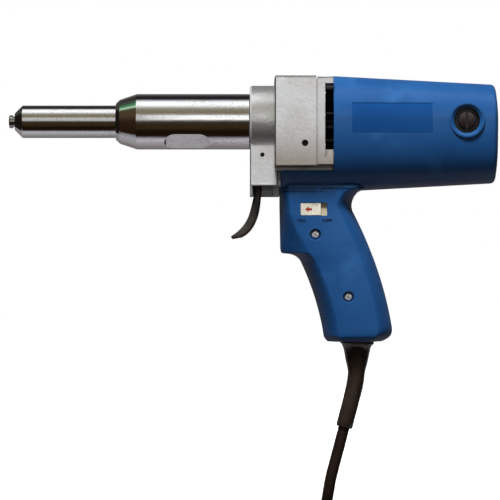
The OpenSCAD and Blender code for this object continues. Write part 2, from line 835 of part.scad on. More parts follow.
// Hollow hub with the clutch gear on it
module clutch_gear() color("slategray") {
    ring(washer_x - free_gap, gear_x - washer_x + free_gap, hub_d, hub_bore_d);
    difference() {
        along(gear_x) rotate(135 + 180 / clutch_teeth)
            linear_extrude(clutch_gear_l) gear_outline(clutch_teeth);
        along(gear_x - past) cylinder(d = hub_bore_d, h = clutch_gear_l + 2 * past);
    }
}

// Cone that the trigger pushes into the cup, with a groove for the fork
module clutch_sleeve() color("gray") {
    body_r = clutch_cone_d / 2;
    cone_end_x = cup_end_x + clutch_stroke + clutch_rest_gap;
    bore_r = hub_d / 2 + running_gap;
    seat_r = hub_d / 2 + 2 * clutch_wire_d;
    rear_flange_r = fork_groove_d / 2 + 1.1;
    turned([
        [seat_r, sleeve_x],
        [body_r - clutch_slope * (cone_end_x - sleeve_x), sleeve_x],
        [body_r, cone_end_x],
        [body_r, fork_x - fork_gap],
        [fork_groove_d / 2, fork_x - fork_gap],
        [fork_groove_d / 2, fork_x + fork_t + fork_gap],
        [rear_flange_r, fork_x + fork_t + fork_gap],
        [rear_flange_r, sleeve_end_x],
        [bore_r, sleeve_end_x],
        [bore_r, spring_seat_x],
        [seat_r, spring_seat_x],
    ]);
}

module clutch_washer() color("silver")
    ring(washer_x, washer_t, hub_d + 3.4 * clutch_wire_d, hub_d);

module clutch_spring() color("silver")
    along(washer_x + washer_t) coil_spring(hub_d + 2 * clutch_wire_d, clutch_wire_d,
        spring_seat_x - washer_x - washer_t, 2, steps = 16);

module clutch_bearing() color("lightsteelblue")
    ring(web_x, clutch_bearing_l, clutch_bearing_d, hub_d + 2 * running_gap);

// Half ring that rides in the sleeve's groove and slides in the collar
module clutch_fork() color("darkgray") {
    reach_r = clutch_space_d / 2 - slide_gap;
    along(fork_x) difference() {
        cylinder(r = reach_r, h = fork_t);
        translate([0, 0, -past]) cylinder(r = fork_groove_d / 2 + free_gap, h = fork_t + 2 * past);
        translate([-2 * reach_r, -reach_r, -past]) cube([2 * reach_r, 2 * reach_r, fork_t + 2 * past]);
        translate([pin_drop - arm_h + arm_r + 0.2, -slot_w / 2 - past, -past])
            cube([reach_r, slot_w + 2 * past, fork_t + 2 * past]);
    }
}

// Shaft with the large and the small gear in one piece
module layshaft() color("slategray") {
    shaft_l = middle_x + middle_plate_t - 1.2 - web_x;
    beside(web_x + 0.2, lay_y, lay_z) cylinder(d = layshaft_d, h = shaft_l);
    beside(gear_x, lay_y, lay_z) rotate(315) linear_extrude(clutch_gear_l) gear_outline(small_teeth);
    beside(large_gear_x, lay_y, lay_z) rotate(315 + 180 / large_teeth)
        linear_extrude(large_gear_l) gear_outline(large_teeth);
}

module layshaft_bushes() color("peru") {
    outer_d = layshaft_d + 2 * bush_wall;
    for (x = [web_x, middle_x])
        beside(x, lay_y, lay_z) difference() {
            cylinder(d = outer_d, h = clutch_bearing_l);
            translate([0, 0, -past])
                cylinder(d = layshaft_d + 2 * running_gap, h = clutch_bearing_l + 2 * past);
        }
}

// Outline of the trigger bracket, seen from the side, down to a given drop
module leg_outline(drop, chamfer) {
    polygon([
        [case_x, axis_z], [block_x, axis_z], [block_x, axis_z - drop],
        [case_x + chamfer, axis_z - drop], [case_x, axis_z - drop + chamfer],
    ]);
}

// Extrudes an outline of [x, z] points from one y to another
module upright(y_from, y_to)
    translate([0, y_to, 0]) rotate([90, 0, 0]) linear_extrude(y_to - y_from) children();

// Narrow foot under the castings, which stands on the saddle
module foot(from_x, to_x)
    translate([from_x, -foot_w / 2, axis_z - saddle_drop])
        cube([to_x - from_x, foot_w, saddle_drop - block_h / 2 + 3]);

// Cast case: front collar, square block and the bracket that carries the trigger
module gear_case() color("lightgray") {
    slot_y = slot_w / 2;
    bush_d = layshaft_d + 2 * bush_wall;
    difference() {
        union() {
            along(case_x) cylinder(d = collar_d, h = collar_l);
            along(block_x) linear_extrude(block_l) rounded(block_h, block_w, block_r);
            upright(-leg_w / 2, leg_w / 2) leg_outline(near_drop, 0.01);
            upright(slot_y, leg_w / 2) leg_outline(far_drop, leg_chamfer);
            intersection() {
                upright(-slot_y - 3, leg_w / 2) leg_outline(far_drop, leg_chamfer);
                translate([case_x, -leg_w / 2, 0]) cube([web_t, leg_w, axis_z]);
            }
            translate([web_x, -slot_y - 4, axis_z - far_drop])
                cube([-head_front - web_x, slot_y + 4 + leg_w / 2, lug_h]);
            foot(block_x, middle_x);
            translate([web_x, -foot_w / 2 + 4, axis_z - far_drop])
                cube([saddle_x - 1 - web_x, foot_w - 8, far_drop - block_h / 2 + past]);
        }
        along(case_x - past) cylinder(d = main_thread_d, h = main_thread_l + 2 * past);
        along(case_x + main_thread_l) cylinder(d = clutch_space_d, h = web_x - case_x - main_thread_l);
        along(web_x - past) cylinder(d = clutch_bearing_d, h = clutch_bearing_l + 2 * past);
        along(web_x + clutch_bearing_l) cylinder(d = gear_space_d, h = block_l + past);
        beside(web_x + clutch_bearing_l, lay_y, lay_z) cylinder(d = large_space_d, h = block_l + past);
        beside(web_x - past, lay_y, lay_z) cylinder(d = bush_d, h = clutch_bearing_l + 2 * past);
        translate([case_x + web_t, -slot_y, 0])
            cube([web_x - case_x - web_t, slot_w, axis_z - clutch_space_d / 2 + 3]);
        translate([trigger_x, 0, trigger_z]) rotate([90, 0, 0])
            cylinder(d = pin_d, h = 2 * leg_w, center = true);
        for (y = [-case_screw_y, case_screw_y], z = [-case_screw_z, case_screw_z]) {
            beside(block_x - past, y, z) cylinder(d = case_screw_d, h = block_l + 2 * past);
            beside(block_x - past, y, z) cylinder(d = case_head_d + 0.4, h = case_head_l + past);
        }
        translate([middle_x - side_screw_x, -block_w / 2 - past, axis_z - side_screw_drop])
            rotate([-90, 0, 0]) cylinder(d = side_screw_d, h = 3 + past);
    }
}

module case_screws() color("silver")
    for (y = [-case_screw_y, case_screw_y], z = [-case_screw_z, case_screw_z])
        beside(block_x, y, z) difference() {
            union() {
                cylinder(d = case_screw_d, h = case_screw_l);
                cylinder(d = case_head_d, h = case_head_l);
            }
            translate([0, 0, -past]) cylinder(d = case_screw_d - 0.8, h = 2 + past, $fn = 6);
        }

// Grub screw at the bottom of the recess in the block's side
module side_screw() color("dimgray")
    translate([middle_x - side_screw_x, -block_w / 2 + 3, axis_z - side_screw_drop]) rotate([90, 0, 0])
        difference() {
            cylinder(d = side_screw_d, h = 1.6);
            translate([0, 0, 0.6]) cylinder(d = side_screw_d * 0.5, h = 2, $fn = 6);
        }

// Bearing plate with the fan's space behind it, open at both sides as exhaust
module middle_housing() color("lightgray") {
    plate_end_x = middle_x + middle_plate_t;
    window_low = window_rise - window_h / 2;
    difference() {
        union() {
            along(middle_x) linear_extrude(middle_l) rounded(middle_h, middle_w, block_r - 0.7);
            foot(middle_x, motor_x);
        }
        along(plate_end_x) cylinder(d = fan_d + 2, h = middle_l);
        along(middle_x - past) cylinder(d = front_bearing_d, h = middle_plate_t + 2 * past);
        beside(middle_x - past, lay_y, lay_z)
            cylinder(d = layshaft_d + 2 * bush_wall, h = clutch_bearing_l + past);
        translate([plate_end_x + 0.4, -middle_w, axis_z + window_low])
            cube([middle_l, 2 * middle_w, window_h]);
        for (y = [-case_screw_y, case_screw_y], z = [-case_screw_z, case_screw_z])
            beside(middle_x - past, y, z) cylinder(d = case_screw_d, h = case_screw_l - block_l + past);
        for (y = [-motor_screw_y, motor_screw_y], z = [-motor_screw_z, motor_screw_z]) {
            beside(middle_x - past, y, z) cylinder(d = motor_screw_d, h = middle_l + 2 * past);
            beside(middle_x - past, y, z) cylinder(d = motor_head_d + 0.4, h = motor_head_l + past);
        }
    }
}

// Point of a curve through three handles, a quadratic Bezier
function bow(a, b, c, t) = a * (1 - t) ^ 2 + b * 2 * t * (1 - t) + c * t ^ 2;
function bow_points(a, b, c, steps) = [for (i = [0 : steps]) bow(a, b, c, i / steps)];

// Lever that hangs in the bracket's slot and curls forward under the finger
module trigger() color([0.1, 0.08, 0.07]) {
    top_z = trigger_z;
    tip_z = trigger_z - trigger_reach;
    web_z = axis_z - far_drop;
    front_x_top = case_x + web_t + free_gap;
    eye_r = pin_d / 2 + 2.4;
    front = concat(
        [[trigger_x - 2.6, top_z], [front_x_top + 0.4, web_z + 6], [front_x_top, web_z - 0.3]],
        bow_points([front_x_top - 1.3, web_z - 1.4], [front_x_top - 1.3, tip_z + 11.6],
            [trigger_x - trigger_curl * 1.25, tip_z + 3.1], 8)
    );
    back = concat(
        [[trigger_x - trigger_curl * 1.33, tip_z + 1], [trigger_x - trigger_curl * 1.27, tip_z]],
        bow_points([trigger_x - trigger_curl * 0.89, tip_z + 1], [front_x_top + trigger_t - 2.5, tip_z + 6.6],
            [front_x_top + trigger_t - 0.9, web_z - 1.4], 8),
        [[trigger_x + 2.6, top_z]]
    );
    difference() {
        upright(-trigger_w / 2, trigger_w / 2) union() {
            polygon(concat(front, back));
            translate([trigger_x, trigger_z]) circle(eye_r);
            polygon([
                [trigger_x + eye_r * 0.85, trigger_z - 0.4],
                [arm_x + arm_r * 0.9, trigger_z + arm_h - 1.4],
                [arm_x + arm_r * 0.8, trigger_z + arm_h + 0.3],
                [arm_x - arm_r * 0.8, trigger_z + arm_h + 0.3],
                [arm_x - arm_r * 0.9, trigger_z + 5.6],
                [trigger_x - 2.6, trigger_z + 2.2],
            ]);
            translate([arm_x, trigger_z + arm_h]) circle(arm_r);
        }
        translate([trigger_x, 0, trigger_z]) rotate([90, 0, 0])
            cylinder(d = pin_d + 2 * running_gap, h = 2 * trigger_w, center = true);
        for (y = [-1, 1]) translate([trigger_x, y * (trigger_w / 2 - 0.9), trigger_z]) rotate([90, 0, 0])
            cylinder(d = pin_d + 3.4, h = 1.8 + 2 * free_gap, center = true);
    }
}

module trigger_pin() color("dimgray")
    translate([trigger_x, 0, trigger_z]) rotate([90, 0, 0]) cylinder(d = pin_d, h = leg_w - 4, center = true);

// Torsion spring round the pin, in the recess beside the lever's eye
module trigger_spring() color("silver")
    for (y = [-trigger_w / 2 - 0.3, trigger_w / 2 - 1.6])
        translate([trigger_x, y, trigger_z]) rotate([-90, 0, 0])
            coil_spring(pin_d + 1.6, 0.7, 1.9, 2, steps = 14);

// Shaft with the pinion at its front end
module armature_shaft() color("slategray") {
    front_bearing_end_x = front_bearing_x + motor_bearing_l;
    turned([
        [0, pinion_x],
        [1.8, pinion_x],
        [1.8, pinion_x + pinion_l],
        [shaft_d / 2, pinion_x + pinion_l + 1],
        [shaft_d / 2, commutator_x + commutator_l + 0.5],
        [rear_journal_d / 2, commutator_x + commutator_l + 0.5],
        [rear_journal_d / 2, rear_bearing_x + motor_bearing_l + 0.5],
        [0, rear_bearing_x + motor_bearing_l + 0.5],
    ]);
    along(pinion_x) rotate(135) linear_extrude(pinion_l) gear_outline(pinion_teeth);
}

module armature_slot_bars(extra)
    for (i = [0 : armature_slots - 1])
        rotate(360 * i / armature_slots)
            translate([armature_d / 2 - slot_depth - 0.8, -slot_width / 2 + extra])
                square([slot_depth, slot_width - 2 * extra]);

module armature_core() color("gray")
    along(core_front_x) linear_extrude(core_l) difference() {
        circle(d = armature_d);
        circle(d = shaft_d);
        armature_slot_bars(0);
    }

module armature_windings() color("peru") {
    head_r = armature_d / 2 - 1.2;
    for (x = [core_front_x - winding_l, core_end_x])
        along(x) rotate_extrude() polygon([
            [shaft_d / 2, 0], [head_r - 2, 0], [head_r, 2], [head_r, winding_l - 2],
            [head_r - 2, winding_l], [shaft_d / 2, winding_l],
        ]);
    along(core_front_x) linear_extrude(core_l) armature_slot_bars(0.05);
}

module commutator() color("orange")
    ring(commutator_x, commutator_l, commutator_d, shaft_d);

module fan() color("dimgray") {
    hub_r = shaft_d / 2 + 2.6;
    blade_t = 1.2;
    disc_t = 1.4;
    ring(fan_x, fan_l, 2 * hub_r, shaft_d);
    ring(fan_x + fan_l - disc_t, disc_t, fan_d, 2 * hub_r);
    for (i = [0 : fan_blades - 1])
        along(fan_x) rotate(360 * i / fan_blades)
            translate([hub_r - 0.3, -blade_t / 2, 0]) cube([fan_d / 2 - hub_r, blade_t, fan_l - disc_t]);
}

module front_bearing() color("lightsteelblue")
    ring(front_bearing_x, motor_bearing_l, front_bearing_d, shaft_d + 2 * running_gap);

module rear_bearing() color("lightsteelblue")
    ring(rear_bearing_x, motor_bearing_l, rear_bearing_d, rear_journal_d + 2 * running_gap);

module field_core() color("gray")
    along(core_front_x) linear_extrude(core_l) difference() {
        circle(d = field_d);
        circle(d = armature_d + 2 * air_gap);
        for (side = [-90, 90]) intersection() {
            circle(r = field_d / 2 - yoke_t);
            rotate(side) wedge(field_d, pole_angle - 90, 90 - pole_angle);
        }
    }

// Two coils, one round each pole, with heads that stand out at both ends of the core
module field_coils() color("peru") {
    inner_r = armature_d / 2 + air_gap + 1;
    outer_r = field_d / 2 - yoke_t - 0.3;
    for (pole = [0, 180]) {
        for (side = [-1, 1])
            along(core_front_x - winding_l + 2) linear_extrude(core_l + 2 * winding_l - 4) difference() {
                intersection() {
                    circle(outer_r);
                    rotate(pole + 90 - side * 18.5) wedge(field_d, -11.5, 11.5);
                }
                circle(inner_r);
            }
        for (x = [core_front_x - winding_l + 2, core_end_x])
            along(x) linear_extrude(winding_l - 2) difference() {
                intersection() {
                    circle(outer_r);
                    rotate(pole) wedge(2 * field_d, -78, 78);
                }
                circle(inner_r);
            }
    }
}

// Places children on both sides of the motor, with Z pointing outward from the axis
module at_brushes()
    for (side = [0, 180])
        translate([brush_middle_x, 0, axis_z]) rotate([90 + side, 0, 0]) children();

module brush_holders() color("goldenrod")
    at_brushes() translate([0, 0, commutator_d / 2 + 1.6]) difference() {
        cylinder(d = holder_d, h = well_y - commutator_d / 2 - 1.6);
        translate([0, 0, -past]) cylinder(r = brush_w * 0.74, h = well_y);
    }

module brushes() color("black")
    at_brushes() translate([0, 0, commutator_d / 2 + running_gap + brush_h / 2])
        cube([brush_w, brush_w, brush_h], center = true);

module brush_springs() color("silver")
    at_brushes() translate([0, 0, commutator_d / 2 + running_gap + brush_h])
        coil_spring(brush_w - 1.4, 0.7, cap_end_y - commutator_d / 2 - running_gap - brush_h, 3);

module brush_caps() color("saddlebrown")
    at_brushes() difference() {
        union() {
            translate([0, 0, well_y]) cylinder(d = cap_d, h = cap_t);
            translate([0, 0, cap_end_y]) cylinder(r = brush_w * 0.74, h = well_y - cap_end_y);
        }
        translate([-cap_d, -0.9, well_y + cap_t - 1.2]) cube([2 * cap_d, 1.8, 2]);
    }

// Ring of the drum's egg-shaped section at x, drawn in by inset
drum_steps = 64;
function drum_share(x) = (x - motor_x) / drum_l;
function drum_top(x) = drum_front_top + (drum_rear_top - drum_front_top) * drum_share(x);
function drum_side(x) = drum_front_side - side_slope * (x - motor_x);
function drum_drop(x) = drum_front_drop + (drum_rear_drop - drum_front_drop) * drum_share(x);
function egg_point(a, side, top, drop) =
    let (power = sin(a) < 0 ? 2 / drum_fullness : 1)
    [side * sign(cos(a)) * abs(cos(a)) ^ power,
        (sin(a) < 0 ? drop : top) * sign(sin(a)) * abs(sin(a)) ^ power];
function drum_ring(x, at, inset) = [for (i = [0 : drum_steps - 1])
    let (a = 360 * (i + 0.5) / drum_steps,
        p = egg_point(a, drum_side(x) - inset, drum_top(x) - inset, drum_drop(x) - inset))
    [at, p[0], axis_z + p[1]]];

// Drum with a rounded rear edge and a gently domed rear face
module drum_solid(inset, from_x, to_x, edge_r, bulge)
    skin(concat(
        [drum_ring(from_x, from_x, inset)],
        [for (a = [0 : 30 : 90]) let (x = to_x - edge_r + edge_r * sin(a))
            drum_ring(x, x, inset + edge_r * (1 - cos(a)))],
        [for (k = [1 : 3]) drum_ring(to_x, to_x + bulge * (1 - (1 - k / 3) ^ 2),
            inset + edge_r + (drum_rear_side - edge_r - inset) * k / 3.3)]
    ));

// Edges of the handle at height z, front and rear
hook_r = 3;
grip_front_z = 6.3;
toe_z = 4.7 - grip_bottom;
heel_z = 8.9 - grip_bottom;
rear_start_z = waist_z - 4;
grip_front_belly = -16.5;
grip_rear_belly = 28.8;
function handle_front(z) =
    z > hook_z + hook_r ? -head_front + 0.02 * max(0, waist_z - z)
    : z > hook_z ? -head_front + 0.7
        + hook_r * (1 - sqrt(max(0, 1 - ((hook_z + hook_r - z) / hook_r) ^ 2))) * 0.5
    : z > grip_front_z ? let (t = (hook_z - z) / (hook_z - grip_front_z))
        bow(-head_front + 2.4, -grip_front_top - 3, -grip_front_top, sqrt(t))
    : let (t = min(1, (grip_front_z - z) / (grip_front_z - toe_z)))
        bow(-grip_front_top, grip_front_belly, -grip_front_toe, t)
        + (z < toe_z ? 3.2 * ((toe_z - z) / 4.7) ^ 2 : 0);
function handle_rear(z) =
    z > waist_z ? grip_rear_waist - 0.2 + 16 * (1 - sqrt(max(0, 1 - min(1, (z - waist_z) / 12.4) ^ 2)))
    : z > rear_start_z ? grip_rear_waist + 1.3 * ((waist_z - z) / 4) ^ 2
    : let (t = min(1, (rear_start_z - z) / (rear_start_z - heel_z)))
        bow(grip_rear_waist + 1.3, grip_rear_belly, grip_rear_heel, t)
        - (z < heel_z ? 11 * ((heel_z - z) / 8.9) ^ 2.6 : 0);
function handle_half(z) = half_grip - (z < toe_z ? 2.6 * ((toe_z - z) / 4.7) ^ 2 : 0);

edge_steps = 6;
function handle_ring(z, inset, at) =
    let (front = handle_front(z) + inset, rear = handle_rear(z) - inset, half = handle_half(z) - inset,
        r = max(1, grip_edge_r - inset), corners = [
            [rear - r, half - r, 0], [front + r, half - r, 90],
            [front + r, r - half, 180], [rear - r, r - half, 270],
        ])
    [for (q = corners, i = [0 : edge_steps]) let (a = q[2] + 90 * i / edge_steps)
        [q[0] + r * cos(a), q[1] + r * sin(a), at]];

module handle_solid(inset, levels, lowest, highest)
    skin([for (z = levels) if (z >= lowest && z <= highest) handle_ring(z, inset, z)]);

outer_levels = [
    -49.2, -48.4, -47, -44.5, -40, -34, -27, -20, -13, -6, 0, 6.3, 7.5, 9, 10.5, 11.6, 12, 12.8, 13.8, 15,
    22, 30, 37, 40, 42, 44, 47, 50, 52.5, 54.6, 56.4, 59.2,
];
inner_levels = [-46.6, -44.5, -40, -30, -20, -10, 0, 6.3, 9, 12, 15, 25, 34, 40, 44, 48, 52, 57];

// Where the near half of the handle is a cover of its own, up to a stepped seam
module cover_region(gap) {
    low_z = axis_z - drum_front_drop + 0.1 - gap;
    big = 200;
    translate([-big / 2, -big - gap, low_z - big]) cube([big, big, big]);
    translate([seam_step_x + gap, -big - gap, low_z - big]) cube([big, big, big + seam_step_h]);
}

module saddle_solid(inset, from_x)
    intersection() {
        skin([drum_ring(motor_x, from_x, inset), drum_ring(motor_x, motor_x + 1, inset)]);
        translate([from_x - 1, -100, 0]) cube([200, 200, axis_z - saddle_drop - inset]);
    }

// Moulding with the drum, the saddle under the gear case and the far half of the handle
module motor_housing() color("royalblue") {
    label_low = axis_z - label_h / 2 + 1.6;
    cavity_end_x = drum_end_x - wall;
    difference() {
        union() {
            difference() {
                drum_solid(0, motor_x, drum_end_x, drum_edge_r, drum_bulge);
                translate([motor_x + label_x, -2 * drum_front_side, label_low])
                    cube([label_l, drum_front_side * 1.4, label_h]);
            }
            intersection() {
                drum_solid(label_depth, motor_x, drum_end_x, drum_edge_r, drum_bulge);
                translate([motor_x + label_x - 0.01, -2 * drum_front_side, label_low - 0.01])
                    cube([label_l + 0.02, drum_front_side * 1.4 + 0.1, label_h + 0.02]);
            }
            saddle_solid(0, saddle_x);
            difference() {
                handle_solid(0, outer_levels, -100, 100);
                cover_region(0);
            }
            at_brushes() translate([0, 0, boss_y - 6]) cylinder(d1 = boss_d + 1.6, d2 = boss_d, h = 6);
        }
        difference() {
            union() {
                drum_solid(wall, motor_x - past, cavity_end_x, 2, 0.01);
                saddle_solid(wall, saddle_x + wall);
                handle_solid(wall, inner_levels, -100, 100);
            }
            housing_inside();
        }
        at_brushes() {
            translate([0, 0, well_y]) cylinder(d = well_d, h = 20);
            translate([0, 0, 10]) cylinder(d = holder_d, h = 20);
        }
        along(rear_bearing_x - past) cylinder(d = rear_bearing_d, h = motor_bearing_l + past);
        along(rear_bearing_x - past) cylinder(d = rear_journal_d + 2, h = motor_bearing_l + 2);
        for (y = [-motor_screw_y, motor_screw_y], z = [-motor_screw_z, motor_screw_z])
            beside(motor_x - past, y, z) cylinder(d = motor_screw_d, h = motor_screw_l - middle_l + past);
        for (p = handle_screw_spots)
            translate([p[0], -past, p[1]]) rotate([-90, 0, 0])
                cylinder(d = handle_shank_d, h = screw_grip + past);
        at_clamp_screws(-past) cylinder(d = clamp_screw_d, h = 8 + past);
        translate([guard_x, 0, -grip_bottom - past]) cylinder(d = guard_neck_d, h = 4);
        rear_vents();
    }
}

// Bosses, ribs and seats that stand inside the housing
module housing_inside() {
    rib_t = 3;
    for (y = [-motor_screw_y, motor_screw_y], z = [-motor_screw_z, motor_screw_z])
        beside(motor_x - past, y, z) cylinder(d = motor_screw_d + 3.2, h = motor_screw_l - middle_l + 2);
    for (side = [-1, 1])
        translate([motor_x - past, side * (motor_screw_y + 9) - 8, axis_z - motor_screw_z - rib_t / 2])
            cube([motor_screw_l - middle_l + 2, 16, rib_t]);
    for (a = [0 : 90 : 270])
        translate([0, 0, axis_z]) rotate([a, 0, 0])
            translate([core_front_x, -rib_t / 2, field_d / 2]) cube([core_l, rib_t, 30]);
    along(rear_bearing_x) cylinder(d = rear_bearing_d + 4.8, h = 20);
    at_brushes() translate([0, 0, commutator_d / 2 + 4]) cylinder(d = holder_d + 4.4, h = 20);
    for (p = handle_screw_spots)
        translate([p[0], 0, p[1]]) rotate([-90, 0, 0]) cylinder(d = handle_shank_d + 4.4, h = half_grip);
    at_clamp_screws(0) cylinder(d = clamp_screw_d + 3, h = half_grip);
}

// Intake slots in the rear face
module rear_vents()
    for (row = [-3 : 3]) if (abs(row) > 1)
        for (side = [-1, 1])
            translate([drum_end_x - wall - 1, side * 10 - 5.5, axis_z + row * 4.6 - 0.9]) cube([12, 11, 1.8]);

// Screwed cover: the near half of the handle, with the switch window
module handle_cover() color("royalblue")
    difference() {
        intersection() {
            handle_solid(0, outer_levels, -100, 100);
            cover_region(seam);
        }
        difference() {
            handle_solid(wall, inner_levels, -100, 100);
            for (p = handle_screw_spots)
                translate([p[0], -seam, p[1]]) rotate([90, 0, 0])
                    cylinder(d = handle_recess_d + 2.4, h = half_grip);
        }
        drum_solid(-0.15, motor_x - 1, drum_end_x, drum_edge_r, drum_bulge);
        saddle_solid(-0.15, saddle_x - 0.2);
        translate([-switch_x - window_l / 2, -half_grip - 2, switch_z - switch_window_h / 2])
            cube([window_l, wall + 6, switch_window_h]);
        for (p = handle_screw_spots) translate([p[0], -screw_floor, p[1]]) rotate([90, 0, 0]) {
            cylinder(d = handle_recess_d, h = 10);
            translate([0, 0, -half_grip]) cylinder(d = handle_shank_d, h = 2 * half_grip);
        }
        translate([guard_x, 0, -grip_bottom - past]) cylinder(d = guard_neck_d, h = 4);
    }

// Cross-headed screws that hold the cover
module handle_screws() color("silver")
    for (p = handle_screw_spots) translate([p[0], -screw_floor, p[1]]) rotate([90, 0, 0]) difference() {
        union() {
            cylinder(d = handle_head_d, h = 1.6);
            translate([0, 0, -screw_floor - screw_grip])
                cylinder(d = handle_shank_d, h = screw_floor + screw_grip);
        }
        for (a = [0, 90]) rotate(a) translate([-1.5, -0.35, 0.7]) cube([3, 0.7, 2]);
    }

module motor_screws() color("silver")
    for (y = [-motor_screw_y, motor_screw_y], z = [-motor_screw_z, motor_screw_z])
        beside(middle_x, y, z) difference() {
            union() {
                cylinder(d = motor_screw_d, h = motor_screw_l);
                cylinder(d = motor_head_d, h = motor_head_l);
            }
            translate([0, 0, -past]) cylinder(d = motor_screw_d - 0.8, h = 1.6 + past, $fn = 6);
        }

module switch_body() color("whitesmoke")
    difference() {
        translate([-switch_x - window_l / 2 - 2, -half_grip + wall, switch_z - switch_window_h / 2 - 1.5])
            cube([window_l + 4, switch_depth, switch_window_h + 3]);
        translate([-switch_x - window_l / 2 + 5, -half_grip + wall - past, switch_z - 1.6])
            cube([3 + slider_travel + 0.8, 2.4 + past, 3.2]);
    }

module switch_slider() color("white") {
    length = window_l - slider_travel - 2 * slide_gap;
    height = switch_window_h - 2 * slide_gap;
    translate([-switch_x - window_l / 2 + slide_gap, -half_grip + 0.4, switch_z - height / 2])
        cube([length, wall - 0.4 - running_gap, height]);
    translate([-switch_x - window_l / 2 + 5.4, -half_grip + wall - 0.2, switch_z - 1.4]) cube([3, 2.2, 2.8]);
}

// Noise capacitor against the inner wall of the far half
module capacitor() color("goldenrod")
    translate([-9, half_grip - wall - 8, -8]) cube([18, 8, 14]);

// Jacket of the cord above the guard, and the two leads that go up to the switch
module inner_leads() color("saddlebrown") {
    jacket_end_z = clamp_z + 5;
    translate([guard_x, 0, guard_inner_z]) cylinder(d = cord_d, h = jacket_end_z - guard_inner_z);
    for (side = [-1, 1])
        route_tube([[guard_x + 1.6 * side, 0, jacket_end_z], [13.5 + 1.6 * side, -3, -18],
            [13 + 1.6 * side, -6, -8], [6 + 1.6 * side, -7.5, 6], [-4 + 1.8 * side, -7.5, 18],
            [-14 + 2.5 * side, -7.5, switch_z - switch_window_h / 2 - 1.5]], 1.1, 8);
}

// Bar on two feet that holds the cord's jacket
module cord_clamp() color("dimgray")
    difference() {
        union() {
            translate([guard_x - clamp_pitch / 2 - 3, -cord_d / 2 - clamp_t, clamp_z - 3])
                cube([clamp_pitch + 6, clamp_t, 6]);
            at_clamp_screws(-cord_d / 2) cylinder(d = clamp_screw_d + 3, h = cord_d / 2);
        }
        at_clamp_screws(-cord_d) cylinder(d = clamp_screw_d, h = 2 * cord_d);
    }

// Places children at the clamp's two screws, with Z toward the far half
module at_clamp_screws(y)
    for (x = [-1, 1])
        translate([guard_x + x * clamp_pitch / 2, y, clamp_z]) rotate([-90, 0, 0]) children();

module clamp_screws() color("silver")
    at_clamp_screws(-cord_d / 2 - clamp_t) {
        cylinder(d = clamp_screw_d, h = cord_d / 2 + clamp_t + 7);
        translate([0, 0, -1.6]) cylinder(d = clamp_screw_d + 2, h = 1.6);
    }

// Rubber bend guard: a collar in the handle, a trumpet and a slim tube that follows the cord
module cord_guard() color([0.1, 0.1, 0.1]) {
    top_z = -grip_bottom;
    end_z = guard_points[0][2];
    translate([guard_x, 0, 0]) rotate_extrude() polygon(concat(
        [[0, guard_inner_z], [guard_neck_d / 2 + 1.6, guard_inner_z],
            [guard_neck_d / 2 + 1.6, guard_collar_z],
            [guard_neck_d / 2, guard_collar_z], [guard_neck_d / 2, top_z], [guard_top_d / 2 + 0.8, top_z],
            [guard_top_d / 2 + 0.8, top_z - 1.4]],
        [for (i = [0 : 5]) let (t = i / 5)
            [bow(guard_top_d / 2 - 1, guard_top_d / 2 - 3.1, guard_tube_d / 2, t),
                top_z - 1.4 + (end_z - top_z + 1.4) * t]],
        [[0, end_z]]
    ));
    route_tube(guard_points, guard_tube_d / 2, 16);
}

module cord() color([0.08, 0.06, 0.05]) {
    route_tube(cord_points, cord_d / 2, 10);
    route_tube(lead_points, cord_d / 2, 10);
}

module cord_coil() color([0.08, 0.06, 0.05])
    translate([coil_x, coil_y, floor_z + tie_t]) rotate_extrude()
        translate([coil_d / 2 - coil_w / 2, coil_h / 2]) rounded(coil_w, coil_h, coil_h * 0.3);

// Band round the coil's turns
module cord_tie() color("black")
    translate([coil_x + coil_d / 2 - coil_w / 2, coil_y, floor_z + tie_t + coil_h / 2]) difference() {
        cube([coil_w + 2 * tie_t, 5, coil_h + 2 * tie_t], center = true);
        cube([coil_w + 0.4, 5 + 2 * past, coil_h], center = true);
    }

// Two-pin plug on the free end, lying on the floor beside the coil, with its short bend guard
module plug_body() color("black") {
    translate([plug_x, plug_y, plug_z]) {
        hull() {
            translate([-plug_l, -plug_w / 2, -plug_t / 2]) cube([4, plug_w, plug_t]);
            translate([-plug_l * 0.55, -plug_w / 2 + 1, -plug_t / 2]) cube([4, plug_w - 2, plug_t]);
            rotate([0, -90, 0]) cylinder(r = cord_d * 0.75, h = 2, $fn = 32);
        }
        translate([-1, 0, 0]) rotate([0, 90, 0]) cylinder(r1 = cord_d * 0.75, r2 = cord_d * 0.58, h = 13);
    }
}

module plug_pins() color("gainsboro")
    for (y = [-1, 1])
        translate([plug_x - plug_l, plug_y + y * plug_pin_pitch / 2, plug_z]) rotate([0, -90, 0]) {
            cylinder(d = plug_pin_d, h = plug_pin_l - 1.5);
            translate([0, 0, plug_pin_l - 1.5]) cylinder(d1 = plug_pin_d, d2 = plug_pin_d - 1.6, h = 1.5);
        }

nosepiece();
front_sleeve();
main_sleeve();
jaw_housing();
jaw_1();
jaw_2();
jaw_3();
jaw_pusher();
jaw_spring();
draw_screw();
return_spring();
drive_nut();
clutch_cup();
nut_bearings();
gear_case();
middle_housing();
clutch_gear();
clutch_sleeve();
clutch_spring();
clutch_washer();
clutch_bearing();
clutch_fork();
layshaft();
layshaft_bushes();
case_screws();
side_screw();
trigger();
trigger_pin();
trigger_spring();
armature_shaft();
armature_core();
armature_windings();
commutator();
fan();
front_bearing();
rear_bearing();
field_core();
field_coils();
brush_holders();
brushes();
brush_springs();
brush_caps();
motor_housing();
motor_screws();
handle_cover();
handle_screws();
switch_body();
switch_slider();
capacitor();
inner_leads();
cord_clamp();
clamp_screws();
cord_guard();
cord();
cord_coil();
cord_tie();
plug_body();
plug_pins();
